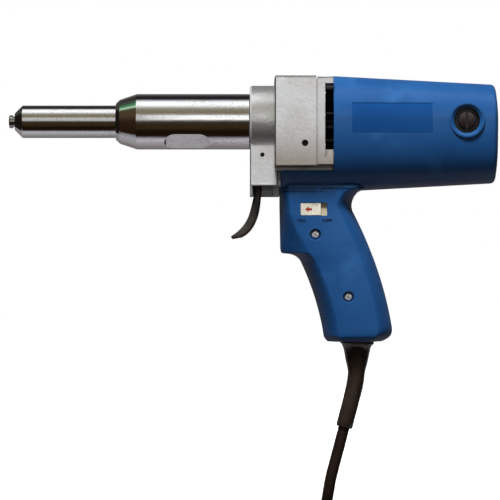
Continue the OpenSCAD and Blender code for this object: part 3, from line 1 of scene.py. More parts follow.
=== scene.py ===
"""Looks of an electric blind riveter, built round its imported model.

Sizes are in millimetres in the code and become metres when a mesh is made. X runs along the barrel with
the nose toward -X, Z is up, and -Y is the side with the switch. The origin is the middle of the grip.
"""
import logging
import math
from dataclasses import dataclass
from enum import Enum
from typing import Optional, Sequence

import bmesh
import bpy
from mathutils import Matrix, Vector


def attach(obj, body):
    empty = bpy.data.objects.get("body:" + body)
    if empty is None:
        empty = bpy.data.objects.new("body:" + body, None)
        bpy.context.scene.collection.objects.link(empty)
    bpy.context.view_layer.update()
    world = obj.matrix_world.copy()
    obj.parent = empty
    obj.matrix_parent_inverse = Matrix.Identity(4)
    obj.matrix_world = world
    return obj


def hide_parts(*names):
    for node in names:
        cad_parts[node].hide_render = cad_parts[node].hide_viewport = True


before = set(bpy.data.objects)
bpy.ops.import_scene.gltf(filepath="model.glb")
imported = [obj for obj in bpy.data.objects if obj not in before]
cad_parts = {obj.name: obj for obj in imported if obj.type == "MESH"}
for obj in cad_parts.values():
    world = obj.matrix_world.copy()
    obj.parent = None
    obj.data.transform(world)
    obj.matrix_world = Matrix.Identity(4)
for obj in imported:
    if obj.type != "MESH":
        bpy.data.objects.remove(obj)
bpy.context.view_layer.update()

LOG = logging.getLogger("riveter")
MM = 0.001
AXIS_Z = 103.4

Point = tuple[float, float]
Place = tuple[float, float, float]
Ring = list[Place]
Piece = bpy.types.Object
Tree = bpy.types.NodeTree
Node = bpy.types.Node
Socket = bpy.types.NodeSocket


class Body(Enum):
    """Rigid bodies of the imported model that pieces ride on."""

    TOOL = "tool"
    TRIGGER = "trigger"
    SWITCH = "switch_slider"


class Along(Enum):
    """Axis that a rounded block is built along."""

    X = 0
    Y = 1


class Carve(Enum):
    """Ways to combine two closed pieces."""

    CUT = "DIFFERENCE"
    ADD = "UNION"
    KEEP = "INTERSECT"


# Finishes


def linear(hex_colour: str) -> tuple[float, float, float, float]:
    """Turns an sRGB hex colour into Blender's linear colour.

    Args:
        hex_colour: Six hex digits, such as "2a5b9c".

    Returns:
        Linear red, green and blue, and full opacity.
    """
    parts = [int(hex_colour[i : i + 2], 16) / 255 for i in (0, 2, 4)]
    red, green, blue = (c / 12.92 if c <= 0.04045 else ((c + 0.055) / 1.055) ** 2.4 for c in parts)
    return red, green, blue, 1.0


def add(tree: Tree, kind: str, settings: Optional[dict] = None, links: Optional[dict] = None) -> Node:
    """Adds one node with its settings and the links into its sockets.

    Args:
        tree: Node tree that gets the node.
        kind: Blender's type name of the node, without ShaderNode before it.
        settings: Values by attribute name or input socket name or number.
        links: Output sockets by the name or number of the input they go to.

    Returns:
        The new node.
    """
    node = tree.nodes.new(f"ShaderNode{kind}")
    for key, value in (settings or {}).items():
        if isinstance(key, str) and hasattr(node, key):
            setattr(node, key, value)
        else:
            node.inputs[key].default_value = value
    for key, socket in (links or {}).items():
        tree.links.new(socket, node.inputs[key])
    return node


def blank(name: str) -> bpy.types.Material:
    """New material with an empty node tree.

    Args:
        name: Name of the material.

    Returns:
        The material.
    """
    made = bpy.data.materials.new(name)
    made.use_nodes = True
    made.node_tree.nodes.clear()
    return made


@dataclass(frozen=True)
class Finish:
    """A plain finish: one colour with a fine mottling and a grain in the surface.

    The grain sizes are in millimetres. The mottling is a slow change of shade, as handling and age give.
    """

    name: str
    colour: str
    shade: str
    metallic: float = 0.0
    roughness: float = 0.5
    ior: float = 1.45
    grain_mm: float = 0.6
    grain_depth_mm: float = 0.02
    mottle_mm: float = 14.0
    roughness_swing: float = 0.06
    coat: float = 0.0

    def material(self) -> bpy.types.Material:
        """Builds the material once and hands out the same one after that.

        Returns:
            The material.
        """
        made = bpy.data.materials.get(self.name)
        if made is not None:
            return made
        made = blank(self.name)
        tree = made.node_tree
        surface = add(tree, "BsdfPrincipled", {
            "Metallic": self.metallic, "Roughness": self.roughness, "Coat Weight": self.coat,
        })
        if self.metallic < 0.5:
            surface.inputs["IOR"].default_value = self.ior
        place = add(tree, "TexCoord").outputs["Object"]
        self.dress(tree, surface, place)
        add(tree, "OutputMaterial", links={"Surface": surface.outputs["BSDF"]})
        return made

    def dress(self, tree: Tree, surface: Node, place: Socket) -> None:
        """Links colour, roughness and grain into the surface.

        Args:
            tree: The material's node tree.
            surface: The surface shader.
            place: Socket with the place on the piece, in metres.
        """
        mottle = self.noise(tree, place, self.mottle_mm, 3.0)
        tree.links.new(self.mottled(tree, mottle), surface.inputs["Base Color"])
        self.vary_roughness(tree, surface, mottle)
        grain = self.noise(tree, place, self.grain_mm, 2.0)
        self.raise_grain(tree, surface, grain, self.grain_depth_mm)

    def mottled(self, tree: Tree, pattern: Socket) -> Socket:
        """The finish's colour, which turns into its shade where a pattern is high."""
        mixed = add(tree, "Mix", {"data_type": "RGBA", 6: linear(self.colour),
            7: linear(self.shade)}, {0: pattern})
        return mixed.outputs[2]

    def noise(self, tree: Tree, place: Socket, size_mm: float, detail: float) -> Socket:
        """Soft random pattern from 0 to 1.

        Args:
            tree: The material's node tree.
            place: Socket with the place on the piece, in metres.
            size_mm: About the size of a lump.
            detail: How many finer layers of lumps it has.

        Returns:
            Socket with the pattern.
        """
        made = add(tree, "TexNoise", {"Scale": 1 / (size_mm * MM), "Detail": detail,
            "Roughness": 0.55}, {"Vector": place})
        spread = add(tree, "MapRange", {"From Min": 0.3, "From Max": 0.7}, {"Value": made.outputs["Fac"]})
        return spread.outputs["Result"]

    def vary_roughness(self, tree: Tree, surface: Node, pattern: Socket) -> None:
        """Lets the roughness swing with a pattern, round the finish's own value.

        Args:
            tree: The material's node tree.
            surface: The surface shader.
            pattern: Socket with the pattern, from 0 to 1.
        """
        low = max(0.02, self.roughness - self.roughness_swing)
        swing = add(tree, "MapRange", {"To Min": low,
            "To Max": self.roughness + self.roughness_swing}, {"Value": pattern})
        tree.links.new(swing.outputs["Result"], surface.inputs["Roughness"])

    def raise_grain(self, tree: Tree, surface: Node, pattern: Socket, depth_mm: float) -> None:
        """Raises a pattern from 0 to 1 from the surface, by a depth in millimetres."""
        bump = add(tree, "Bump", {"Strength": 1.0, "Distance": depth_mm * MM}, {"Height": pattern})
        tree.links.new(bump.outputs["Normal"], surface.inputs["Normal"])


@dataclass(frozen=True)
class MouldedNylon(Finish):
    """Glass-filled nylon from an eroded mould: deep colour with a fine leathery grain.

    The grain breaks the highlight into a soft sheen, and rubbed places are a little smoother and lighter.
    """

    rubbed: str = "3f7ab8"
    rub_mm: float = 38.0
    rub_from: float = 0.62
    rub_share: float = 0.35

    def dress(self, tree: Tree, surface: Node, place: Socket) -> None:
        """Adds rubbed patches over the plain finish's mottling."""
        base = self.mottled(tree, self.noise(tree, place, self.mottle_mm, 4.0))
        patches = self.noise(tree, place, self.rub_mm, 5.0)
        rub = add(tree, "MapRange", {"From Min": self.rub_from, "From Max": 1.0,
            "To Max": self.rub_share}, {"Value": patches})
        colour = add(tree, "Mix", {"data_type": "RGBA", 7: linear(self.rubbed)},
            {0: rub.outputs["Result"], 6: base})
        tree.links.new(colour.outputs[2], surface.inputs["Base Color"])
        self.vary_roughness(tree, surface, patches)
        grain = add(tree, "TexVoronoi", {"feature": "SMOOTH_F1",
            "Scale": 1 / (self.grain_mm * MM), "Smoothness": 0.6}, {"Vector": place})
        self.raise_grain(tree, surface, grain.outputs["Distance"], self.grain_depth_mm)


@dataclass(frozen=True)
class CastAluminium(Finish):
    """Sanded aluminium casting: pale grey with small pits and a speckle of brighter grit marks.

    The lower part of the block is painted warmer and darker, as painted shade toward its lower
    edge. Its heights and its front end are in millimetres.
    """

    speck_mm: float = 0.9
    speck_colour: str = "dfe3e6"
    pit_mm: float = 2.6
    pit_depth_mm: float = 0.09
    # Painted shade low on the block: its colour, its top and bottom heights, front end and strength.
    painted_shade: str = "988c80"
    painted_shade_top: float = 105.0
    painted_shade_bottom: float = 72.0
    painted_shade_from_x: float = -47.5
    painted_shade_share: float = 0.8

    def dress(self, tree: Tree, surface: Node, place: Socket) -> None:
        """Adds bright specks, the painted shade low on the block and shallow pits over the plain finish."""
        mottle = self.noise(tree, place, self.mottle_mm, 5.0)
        specks = self.noise(tree, place, self.speck_mm, 3.0)
        bright = add(tree, "MapRange", {"From Min": 0.55, "From Max": 1.0, "To Max": 0.6},
            {"Value": specks})
        speckled = add(tree, "Mix", {"data_type": "RGBA", 7: linear(self.speck_colour)},
            {0: bright.outputs["Result"], 6: self.mottled(tree, mottle)})
        # Painted shade: the block's lower part is mixed toward a warmer, darker grey.
        colour = add(tree, "Mix", {"data_type": "RGBA", 7: linear(self.painted_shade)},
            {0: self.painted_shade_mask(tree, place), 6: speckled.outputs[2]})
        tree.links.new(colour.outputs[2], surface.inputs["Base Color"])
        self.vary_roughness(tree, surface, mottle)
        pits = self.noise(tree, place, self.pit_mm, 4.0)
        grain = self.noise(tree, place, self.grain_mm, 2.0)
        relief = add(tree, "Math", {"operation": "MULTIPLY_ADD",
            1: self.grain_depth_mm / self.pit_depth_mm}, {0: grain, 2: pits})
        self.raise_grain(tree, surface, relief.outputs[0], self.pit_depth_mm)

    def painted_shade_mask(self, tree: Tree, place: Socket) -> Socket:
        """Share of the painted shade colour, which grows toward the block's lower edge and ends there.

        Args:
            tree: The material's node tree.
            place: Socket with the place on the piece, in metres.

        Returns:
            Socket with the share.
        """
        parts = add(tree, "SeparateXYZ", links={0: place}).outputs
        lower = add(tree, "MapRange", {"interpolation_type": "SMOOTHSTEP",
            "From Min": self.painted_shade_top * MM, "From Max": self.painted_shade_bottom * MM,
            "To Max": self.painted_shade_share}, {"Value": parts["Z"]})
        behind = add(tree, "MapRange", {"From Min": self.painted_shade_from_x * MM,
            "From Max": (self.painted_shade_from_x + 1) * MM}, {"Value": parts["X"]})
        both = add(tree, "Math", {"operation": "MULTIPLY"}, {0: lower.outputs[0], 1: behind.outputs[0]})
        above = add(tree, "Math", {"operation": "GREATER_THAN", 1: (self.painted_shade_bottom - 1.5) * MM},
            {0: parts["Z"]})
        share = add(tree, "Math", {"operation": "MULTIPLY"}, {0: both.outputs[0], 1: above.outputs[0]})
        return share.outputs[0]


@dataclass(frozen=True)
class ChromePlate(Finish):
    """Bright chrome on turned steel: a mirror whose reflections waver, with faint specks and rubbed marks.

    The waver comes from the polishing under the plating, and it breaks the edges of long highlights.
    """

    waver_mm: float = 5.0
    waver_depth_mm: float = 0.022
    speck_mm: float = 0.8
    stretch: float = 3.0

    def dress(self, tree: Tree, surface: Node, place: Socket) -> None:
        """Adds the waver and the specks."""
        stretched = add(tree, "Mapping", {"Scale": (1 / self.stretch, 1.0, 1.0)}, {"Vector": place})
        waver = self.noise(tree, stretched.outputs[0], self.waver_mm, 4.0)
        specks = self.noise(tree, place, self.speck_mm, 2.0)
        patches = self.noise(tree, stretched.outputs[0], self.mottle_mm, 3.0)
        where = add(tree, "MapRange", {"From Min": 0.6, "From Max": 0.9}, {"Value": specks})
        dull = add(tree, "Math", {"operation": "MULTIPLY"}, {0: where.outputs[0], 1: patches})
        tree.links.new(self.mottled(tree, dull.outputs[0]), surface.inputs["Base Color"])
        rough = add(tree, "MapRange", {"To Min": self.roughness,
            "To Max": self.roughness + self.roughness_swing}, {"Value": dull.outputs[0]})
        tree.links.new(rough.outputs["Result"], surface.inputs["Roughness"])
        self.raise_grain(tree, surface, waver, self.waver_depth_mm)


@dataclass(frozen=True)
class TurnedSteel(Finish):
    """Steel from the lathe: fine rings round the X axis, which stretch the highlight across them."""

    ring_mm: float = 0.7
    ring_depth_mm: float = 0.006

    def dress(self, tree: Tree, surface: Node, place: Socket) -> None:
        """Adds tool rings along the barrel's axis over the plain finish."""
        mottle = self.noise(tree, place, self.mottle_mm, 3.0)
        tree.links.new(self.mottled(tree, mottle), surface.inputs["Base Color"])
        self.vary_roughness(tree, surface, mottle)
        along = add(tree, "Mapping", {"Scale": (1.0, 0.02, 0.02)}, {"Vector": place})
        rings = self.noise(tree, along.outputs[0], self.ring_mm, 2.0)
        self.raise_grain(tree, surface, rings, self.ring_depth_mm)


# Chrome over turned and buffed steel: long mirrored bands with slightly broken edges.
CHROME = ChromePlate("polished_chrome_plate", "eaeaeb", "9a958c", metallic=1.0, roughness=0.05,
    roughness_swing=0.25, mottle_mm=16.0)
# Turned tool steel, left bright: a grey sheen that stretches across its fine rings.
TURNED = TurnedSteel("turned_tool_steel", "b9b6b1", "8f8b86", metallic=1.0, roughness=0.22)
# Hardened and oiled steel: dark grey with a soft, narrow shine.
HARDENED = TurnedSteel("hardened_oiled_steel", "6a6a6e", "4b4a4c", metallic=1.0, roughness=0.32)
# Hard-drawn spring wire: a bright line along each coil.
SPRING = Finish("drawn_spring_wire", "a5a6a8", "85858a", metallic=1.0, roughness=0.28, grain_mm=0.3,
    grain_depth_mm=0.003)
# Sand-cast aluminium, sanded by hand: pale, matt and finely speckled, with a painted shade
# that makes it warmer and darker low on the block.
CASTING = CastAluminium("sanded_cast_aluminium", "d4d6d8", "c1beba", metallic=0.2, roughness=0.5,
    grain_mm=0.35, grain_depth_mm=0.02, mottle_mm=18.0)
# The same casting turned on a lathe: satin, so it goes from pale to dark round the collar.
COLLAR = CastAluminium("turned_collar_aluminium", "e1e1e1", "cac8c4", metallic=0.85, roughness=0.37,
    grain_mm=0.35, grain_depth_mm=0.012, mottle_mm=14.0)
# Edges of the same casting, more metallic and smoother so they mirror the tent's dark stripes;
# their darker colour is painted shade along the rounded edges.
SHADED_CAST_EDGE = CastAluminium("casting_edge_painted_shade", "a3a1a0", "8d8a87", metallic=0.85, roughness=0.3,
    grain_mm=0.35, grain_depth_mm=0.006, mottle_mm=9.0)
# Sintered bronze bush: a dull brown-gold.
BRONZE = Finish("sintered_bronze", "a8783c", "84602f", metallic=1.0, roughness=0.42, grain_mm=0.25)
# Bright zinc plate on rolled steel screws, only half metallic: near-white heads, partly the zinc's
# own brightness and partly a painted reflection in their colour.
ZINC_PAINTED_BRIGHT = Finish("zinc_plate_painted_bright", "e6e6e4", "c4c5c6", metallic=0.45, roughness=0.22, grain_mm=0.3,
    grain_depth_mm=0.004)
# Pressed steel, blackened and rubbed: warm dark grey, slightly mottled.
BLACK_STEEL = Finish("blackened_steel", "4a4540", "37322e", metallic=0.2, roughness=0.42, grain_mm=0.4,
    grain_depth_mm=0.006)
# Stacked and varnished core sheet: grey with fine lines across the stack.
CORE_SHEET = TurnedSteel("stacked_core_sheet", "77777a", "5c5c60", metallic=1.0, roughness=0.45)
# Wound copper wire under brown enamel: rows of glossy red-brown turns.
ENAMEL_WIRE = TurnedSteel("enamelled_copper_wire", "9c4d24", "6d2f14", metallic=0.6, roughness=0.3,
    ring_mm=0.9, ring_depth_mm=0.12)
# Copper turned after moulding: bright orange bars.
COPPER = TurnedSteel("turned_copper", "c27a4e", "9a5a37", metallic=1.0, roughness=0.25)
# Pressed carbon of the brushes, matt black; the same black on the screw and pin in deep holes
# is painted shade.
CARBON_AND_HOLE_SHADE = Finish("pressed_carbon_and_hole_shade", "161616", "0d0d0d", roughness=0.55)
# Black moulded nylon: an even dark satin.
BLACK_NYLON = Finish("black_moulded_nylon", "1d1c1c", "121111", roughness=0.45)
# Pressed phenolic resin: black-brown with a glassy skin.
PHENOLIC = Finish("brown_black_phenolic", "201410", "130c0a", roughness=0.24, grain_mm=1.6,
    grain_depth_mm=0.01, coat=0.3)
# Glass-filled nylon from an eroded mould: deep blue with a soft sheen and rubbed patches.
BLUE_NYLON = MouldedNylon("blue_moulded_nylon", "21538a", "1b4a80", roughness=0.4, grain_mm=0.55,
    grain_depth_mm=0.012, mottle_mm=22.0)
# Bare printed foil without words: smooth, a shade deeper than the housing.
LABEL_FOIL = Finish("bare_label_foil", "0a437f", "0a3f79", roughness=0.5, grain_mm=0.3,
    grain_depth_mm=0.003, mottle_mm=20.0)
# Moulded white switch plastic: cream white, clean and smooth.
SWITCH_WHITE = Finish("white_switch_plastic", "ece8da", "ddd6c0", roughness=0.35, grain_mm=0.8,
    grain_depth_mm=0.004, mottle_mm=5.0)
# The switch well behind the slider: the same plastic, darker and yellower.
SWITCH_DARKER = Finish("darker_switch_plastic", "cfc6a6", "b9b08f", roughness=0.4, mottle_mm=4.0)
# Pad-printed red arrow: flat ink with no shine.
SWITCH_RED = Finish("red_pad_ink", "b5392f", "8f2c25", roughness=0.5, grain_mm=0.4)
# Pad-printed dark ink: flat, nearly black letters.
BLUE_INK = Finish("dark_blue_pad_ink", "0b1c3c", "0a1833", roughness=0.5, grain_mm=0.4)
# Cast epoxy of the capacitor: glossy amber.
EPOXY = Finish("cast_epoxy", "c9a13a", "a98227", roughness=0.25)
# Extruded PVC sleeve on the inner leads: smooth brown.
LEAD_PVC = Finish("extruded_lead_sleeve", "4a2d1c", "361f12", roughness=0.4)
# Moulded black rubber of the guard: brown-black with one soft highlight along it.
RUBBER = Finish("moulded_black_rubber", "382e27", "28211b", roughness=0.26, ior=1.52, grain_mm=0.5,
    grain_depth_mm=0.01, mottle_mm=9.0, coat=0.35)
# Extruded rubber sheath of the cord: brown-black with a fine talc-dulled grain.
CORD_RUBBER = Finish("extruded_cord_rubber", "2a1f19", "1c1511", roughness=0.3, ior=1.52, grain_mm=0.7,
    grain_depth_mm=0.012, mottle_mm=11.0, coat=0.2)
# Nickel-plated brass of the plug pins: a warm mirror.
NICKEL = TurnedSteel("nickel_plated_brass", "cfc6b2", "b4aa95", metallic=1.0, roughness=0.16)


# Making meshes


def settle(piece: Piece) -> Piece:
    """Applies all modifiers of a piece to its mesh.

    Args:
        piece: The piece with its modifiers.

    Returns:
        The same piece, with its new mesh.
    """
    bpy.context.view_layer.update()
    shaped = piece.evaluated_get(bpy.context.evaluated_depsgraph_get())
    mesh = bpy.data.meshes.new_from_object(shaped)
    piece.modifiers.clear()
    piece.data = mesh
    mesh.name = piece.name
    return piece


def new_object(name: str, data: bpy.types.ID) -> Piece:
    """New object in the scene with the given mesh, curve, lamp or lens."""
    made = bpy.data.objects.new(name, data)
    bpy.context.scene.collection.objects.link(made)
    return made


def piece_from(shape: bmesh.types.BMesh, name: str) -> Piece:
    """Makes an object in the scene from a bmesh in millimetres and frees the bmesh.

    Args:
        shape: The bmesh.
        name: Name of the object and its mesh.

    Returns:
        The new object.
    """
    bmesh.ops.recalc_face_normals(shape, faces=shape.faces)
    bmesh.ops.transform(shape, matrix=Matrix.Scale(MM, 4), verts=shape.verts)
    mesh = bpy.data.meshes.new(name)
    shape.to_mesh(mesh)
    shape.free()
    return new_object(name, mesh)


def smooth(piece: Piece, angle: float = 30.0) -> Piece:
    """Shades a piece smooth, with sharp creases where its faces meet steeply.

    Args:
        piece: The piece.
        angle: Smallest angle of a crease, in degrees.

    Returns:
        The same piece.
    """
    piece.data.shade_smooth()
    piece.data.set_sharp_from_angle(angle=math.radians(angle))
    return piece


def loft(name: str, rings: Sequence[Ring], closed: bool = False) -> Piece:
    """Skins rings of equal point counts.

    Args:
        name: Name of the new piece.
        rings: Rings of points in millimetres, in order.
        closed: True joins the last ring to the first, False caps both ends.

    Returns:
        The new piece.
    """
    shape = bmesh.new()
    rows = [[shape.verts.new(p) for p in ring] for ring in rings]
    count = len(rows[0])
    pairs = list(zip(rows, rows[1:])) + ([(rows[-1], rows[0])] if closed else [])
    for lower, upper in pairs:
        for i in range(count):
            j = (i + 1) % count
            shape.faces.new((lower[i], lower[j], upper[j], upper[i]))
    if not closed:
        shape.faces.new(list(reversed(rows[0])))
        shape.faces.new(rows[-1])
    return piece_from(shape, name)


def quarter(steps: int, first: int = 0) -> list[float]:
    """Angles of a quarter turn in equal steps, from the step with the number first."""
    return [math.pi / 2 * k / steps for k in range(first, steps + 1)]


def full_turn(steps: int) -> list[float]:
    """Angles of a full turn in equal steps, without the last, which is the first again."""
    return [2 * math.pi * k / steps for k in range(steps)]


def rounded(corners: Sequence[tuple[float, float, float]], steps: int = 6) -> list[Point]:
    """Rounds the corners of a closed outline.

    Args:
        corners: Corner points with their radius, in order round the outline.
        steps: Straight pieces in each rounded corner.

    Returns:
        The outline's points. A corner with radius 0 stays one point.
    """
    points: list[Point] = []
    count = len(corners)
    for i, (x, y, radius) in enumerate(corners):
        here = Vector((x, y))
        if radius <= 0:
            points.append((x, y))
            continue
        to_last = (Vector(corners[i - 1][:2]) - here).normalized()
        to_next = (Vector(corners[(i + 1) % count][:2]) - here).normalized()
        half = to_last.angle(to_next) / 2
        reach = radius / math.tan(half)
        start, end = here + to_last * reach, here + to_next * reach
        centre = here + (to_last + to_next).normalized() * radius / math.sin(half)
        turn = (start - centre).angle(end - centre)
        for k in range(steps + 1):
            share = k / steps
            spoke = ((start - centre) * math.sin((1 - share) * turn)
                + (end - centre) * math.sin(share * turn)) / math.sin(turn)
            points.append(tuple(centre + spoke))
    return points


def turned(name: str, outline: Sequence[Point], segments: int = 256) -> Piece:
    """Turns a closed outline round the barrel's axis.

    Args:
        name: Name of the new piece.
        outline: Points of X and radius, in order.
        segments: Number of faces round the axis.

    Returns:
        The new piece.
    """
    rings = [[(x, -r * math.cos(a), AXIS_Z + r * math.sin(a)) for x, r in outline]
        for a in full_turn(segments)]
    return loft(name, rings, closed=True)


def rod(name: str, start: Place, end: Place, radius: float, end_radius: Optional[float] = None,
        segments: int = 64) -> Piece:
    """Round rod or cone between two places.

    Args:
        name: Name of the new piece.
        start: Middle of one end.
        end: Middle of the other end.
        radius: Radius at the start.
        end_radius: Radius at the end, where it differs from radius.
        segments: Number of faces round the rod.

    Returns:
        The new piece.
    """
    a, b = Vector(start), Vector(end)
    direction = (b - a).normalized()
    side = direction.orthogonal().normalized()
    other = direction.cross(side)
    far = radius if end_radius is None else end_radius
    rings = [[tuple(p + (side * math.cos(t) + other * math.sin(t)) * r)
        for t in full_turn(segments)] for p, r in ((a, radius), (b, far))]
    return loft(name, rings)


def block(name: str, low: Place, high: Place, corner: float = 1.0, rim: float = 0.8,
          along: Along = Along.X, steps: int = 5, far_rim: Optional[float] = None,
          low_corner: Optional[float] = None) -> Piece:
    """Block with rounded edges.

    Args:
        name: Name of the new piece.
        low: Lowest corner.
        high: Highest corner.
        corner: Radius of the four edges that run along the given axis.
        rim: Radius of the edges round the two end faces.
        along: Axis that the block is built along.
        steps: Straight pieces in each rounding.
        far_rim: Radius round the end face at the higher end, where it differs from rim.
        low_corner: Radius of the two lower edges, where it differs from corner.

    Returns:
        The new piece.
    """
    axis = along.value
    u, v = [i for i in range(3) if i != axis]

    def ring(at: float, inset: float) -> Ring:
        """Rounded rectangle at one place along the block, drawn in by inset."""
        radius = max(corner - inset, 0.02)
        low_radius = max((corner if low_corner is None else low_corner) - inset, 0.02)
        u0, u1, v0, v1 = low[u] + inset, high[u] - inset, low[v] + inset, high[v] - inset
        outline = rounded([(u0, v0, low_radius), (u1, v0, low_radius), (u1, v1, radius), (u0, v1, radius)],
            steps)
        points = []
        for a, b in outline:
            place = [0.0, 0.0, 0.0]
            place[axis], place[u], place[v] = at, a, b
            points.append(tuple(place))
        return points

    def end(at: float, radius: float, way: int) -> list[Ring]:
        """Rings of one rounded end, from the face inward."""
        if radius <= 0:
            return [ring(at, 0)]
        return [ring(at + way * radius * (1 - math.sin(t)), radius * (1 - math.cos(t)))
            for t in reversed(quarter(steps))]

    far = rim if far_rim is None else far_rim
    return loft(name, end(low[axis], rim, 1) + end(high[axis], far, -1)[::-1])


def combine(piece: Piece, tool: Piece, how: Carve) -> Piece:
    """Combines two closed pieces and removes the second.

    Args:
        piece: The piece that stays.
        tool: The piece that is used up.
        how: Cut it away, add it, or keep what both share.

    Returns:
        The piece, with its new mesh.
    """
    step = piece.modifiers.new("combine", "BOOLEAN")
    step.operation = how.value
    step.object = tool
    step.solver = "MANIFOLD"
    settle(piece)
    bpy.data.objects.remove(tool)
    return piece


def cut(piece: Piece, tool: Piece) -> Piece:
    """Cuts the tool out of the piece and removes the tool."""
    return combine(piece, tool, Carve.CUT)


def join(piece: Piece, other: Piece) -> Piece:
    """Joins the other piece onto the piece."""
    return combine(piece, other, Carve.ADD)


def extruded(name: str, outline: Sequence[Point], y_from: float, y_to: float, rim: float = 0.0) -> Piece:
    """Extrudes an outline of (x, z) points along Y, with its rims rounded inward.

    Args:
        name: Name of the new piece.
        outline: Outline points in order.
        y_from: Lower end.
        y_to: Upper end.
        rim: Radius of the rounded rims.

    Returns:
        The new piece.
    """
    count = len(outline)
    points = [Vector(p) for p in outline]
    area = sum(points[i].x * points[(i + 1) % count].y - points[(i + 1) % count].x * points[i].y
        for i in range(count))
    inward = []
    for i in range(count):
        before = (points[i] - points[i - 1]).normalized()
        after = (points[(i + 1) % count] - points[i]).normalized()
        normal = (Vector((-before.y, before.x)) + Vector((-after.y, after.x))).normalized()
        scale = 1 / max(0.5, normal.dot(Vector((-before.y, before.x))))
        inward.append(normal * scale * (1 if area > 0 else -1))

    def ring(y: float, inset: float) -> Ring:
        """The outline at one place along Y, drawn in by inset."""
        return [(p.x + n.x * inset, y, p.y + n.y * inset) for p, n in zip(points, inward)]

    turns = quarter(4) if rim > 0 else []
    rings = [ring(y_from + rim * (1 - math.sin(t)), rim * (1 - math.cos(t))) for t in turns]
    rings += [ring(y_to - rim * (1 - math.sin(t)), rim * (1 - math.cos(t))) for t in reversed(turns)]
    if rim <= 0:
        rings = [ring(y_from, 0), ring(y_to, 0)]
    return loft(name, rings)


def finish_piece(piece: Piece, finish: Finish, replaced: Sequence[str] = (),
                 body: Body = Body.TOOL) -> Piece:
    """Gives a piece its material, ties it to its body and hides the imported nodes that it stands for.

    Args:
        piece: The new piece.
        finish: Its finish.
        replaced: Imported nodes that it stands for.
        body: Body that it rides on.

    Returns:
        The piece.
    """
    piece.data.materials.clear()
    piece.data.materials.append(finish.material())
    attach(piece, body.value)
    if replaced:
        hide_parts(*replaced)
    LOG.info("%s: %d faces", piece.name, len(piece.data.polygons))
    return piece


def bow(start: Point, handle: Point, end: Point, t: float) -> Point:
    """Point of a quadratic curve, from start at t = 0 to end at t = 1."""
    return tuple(a * (1 - t) ** 2 + b * 2 * t * (1 - t) + c * t ** 2 for a, b, c in zip(start, handle, end))


def box(name: str, low: Place, high: Place) -> Piece:
    """Sharp-edged cutter."""
    rings = [[(x, low[1], low[2]), (x, high[1], low[2]), (x, high[1], high[2]), (x, low[1], high[2])]
        for x in (low[0], high[0])]
    return loft(name, rings)


def tube(name: str, stations: Sequence[tuple[Place, float]], sides: int = 48) -> Piece:
    """Round tube through places with a radius at each, square to its course.

    Args:
        name: Name of the new piece.
        stations: Places with the radius there.
        sides: Straight pieces round the tube.

    Returns:
        The new piece.
    """
    places = [Vector(p) for p, _ in stations]
    start = (places[1] - places[0]).normalized()
    side = Vector((0.0, 1.0, 0.0)) if abs(start.y) < 0.9 else Vector((1.0, 0.0, 0.0))
    rings = []
    for k, (_, radius) in enumerate(stations):
        course = (places[min(k + 1, len(places) - 1)] - places[max(k - 1, 0)]).normalized()
        side = (side - course * side.dot(course)).normalized()
        other = course.cross(side)
        rings.append([tuple(places[k] + (side * math.cos(a) + other * math.sin(a)) * radius)
            for a in full_turn(sides)])
    return loft(name, rings)


# The studio


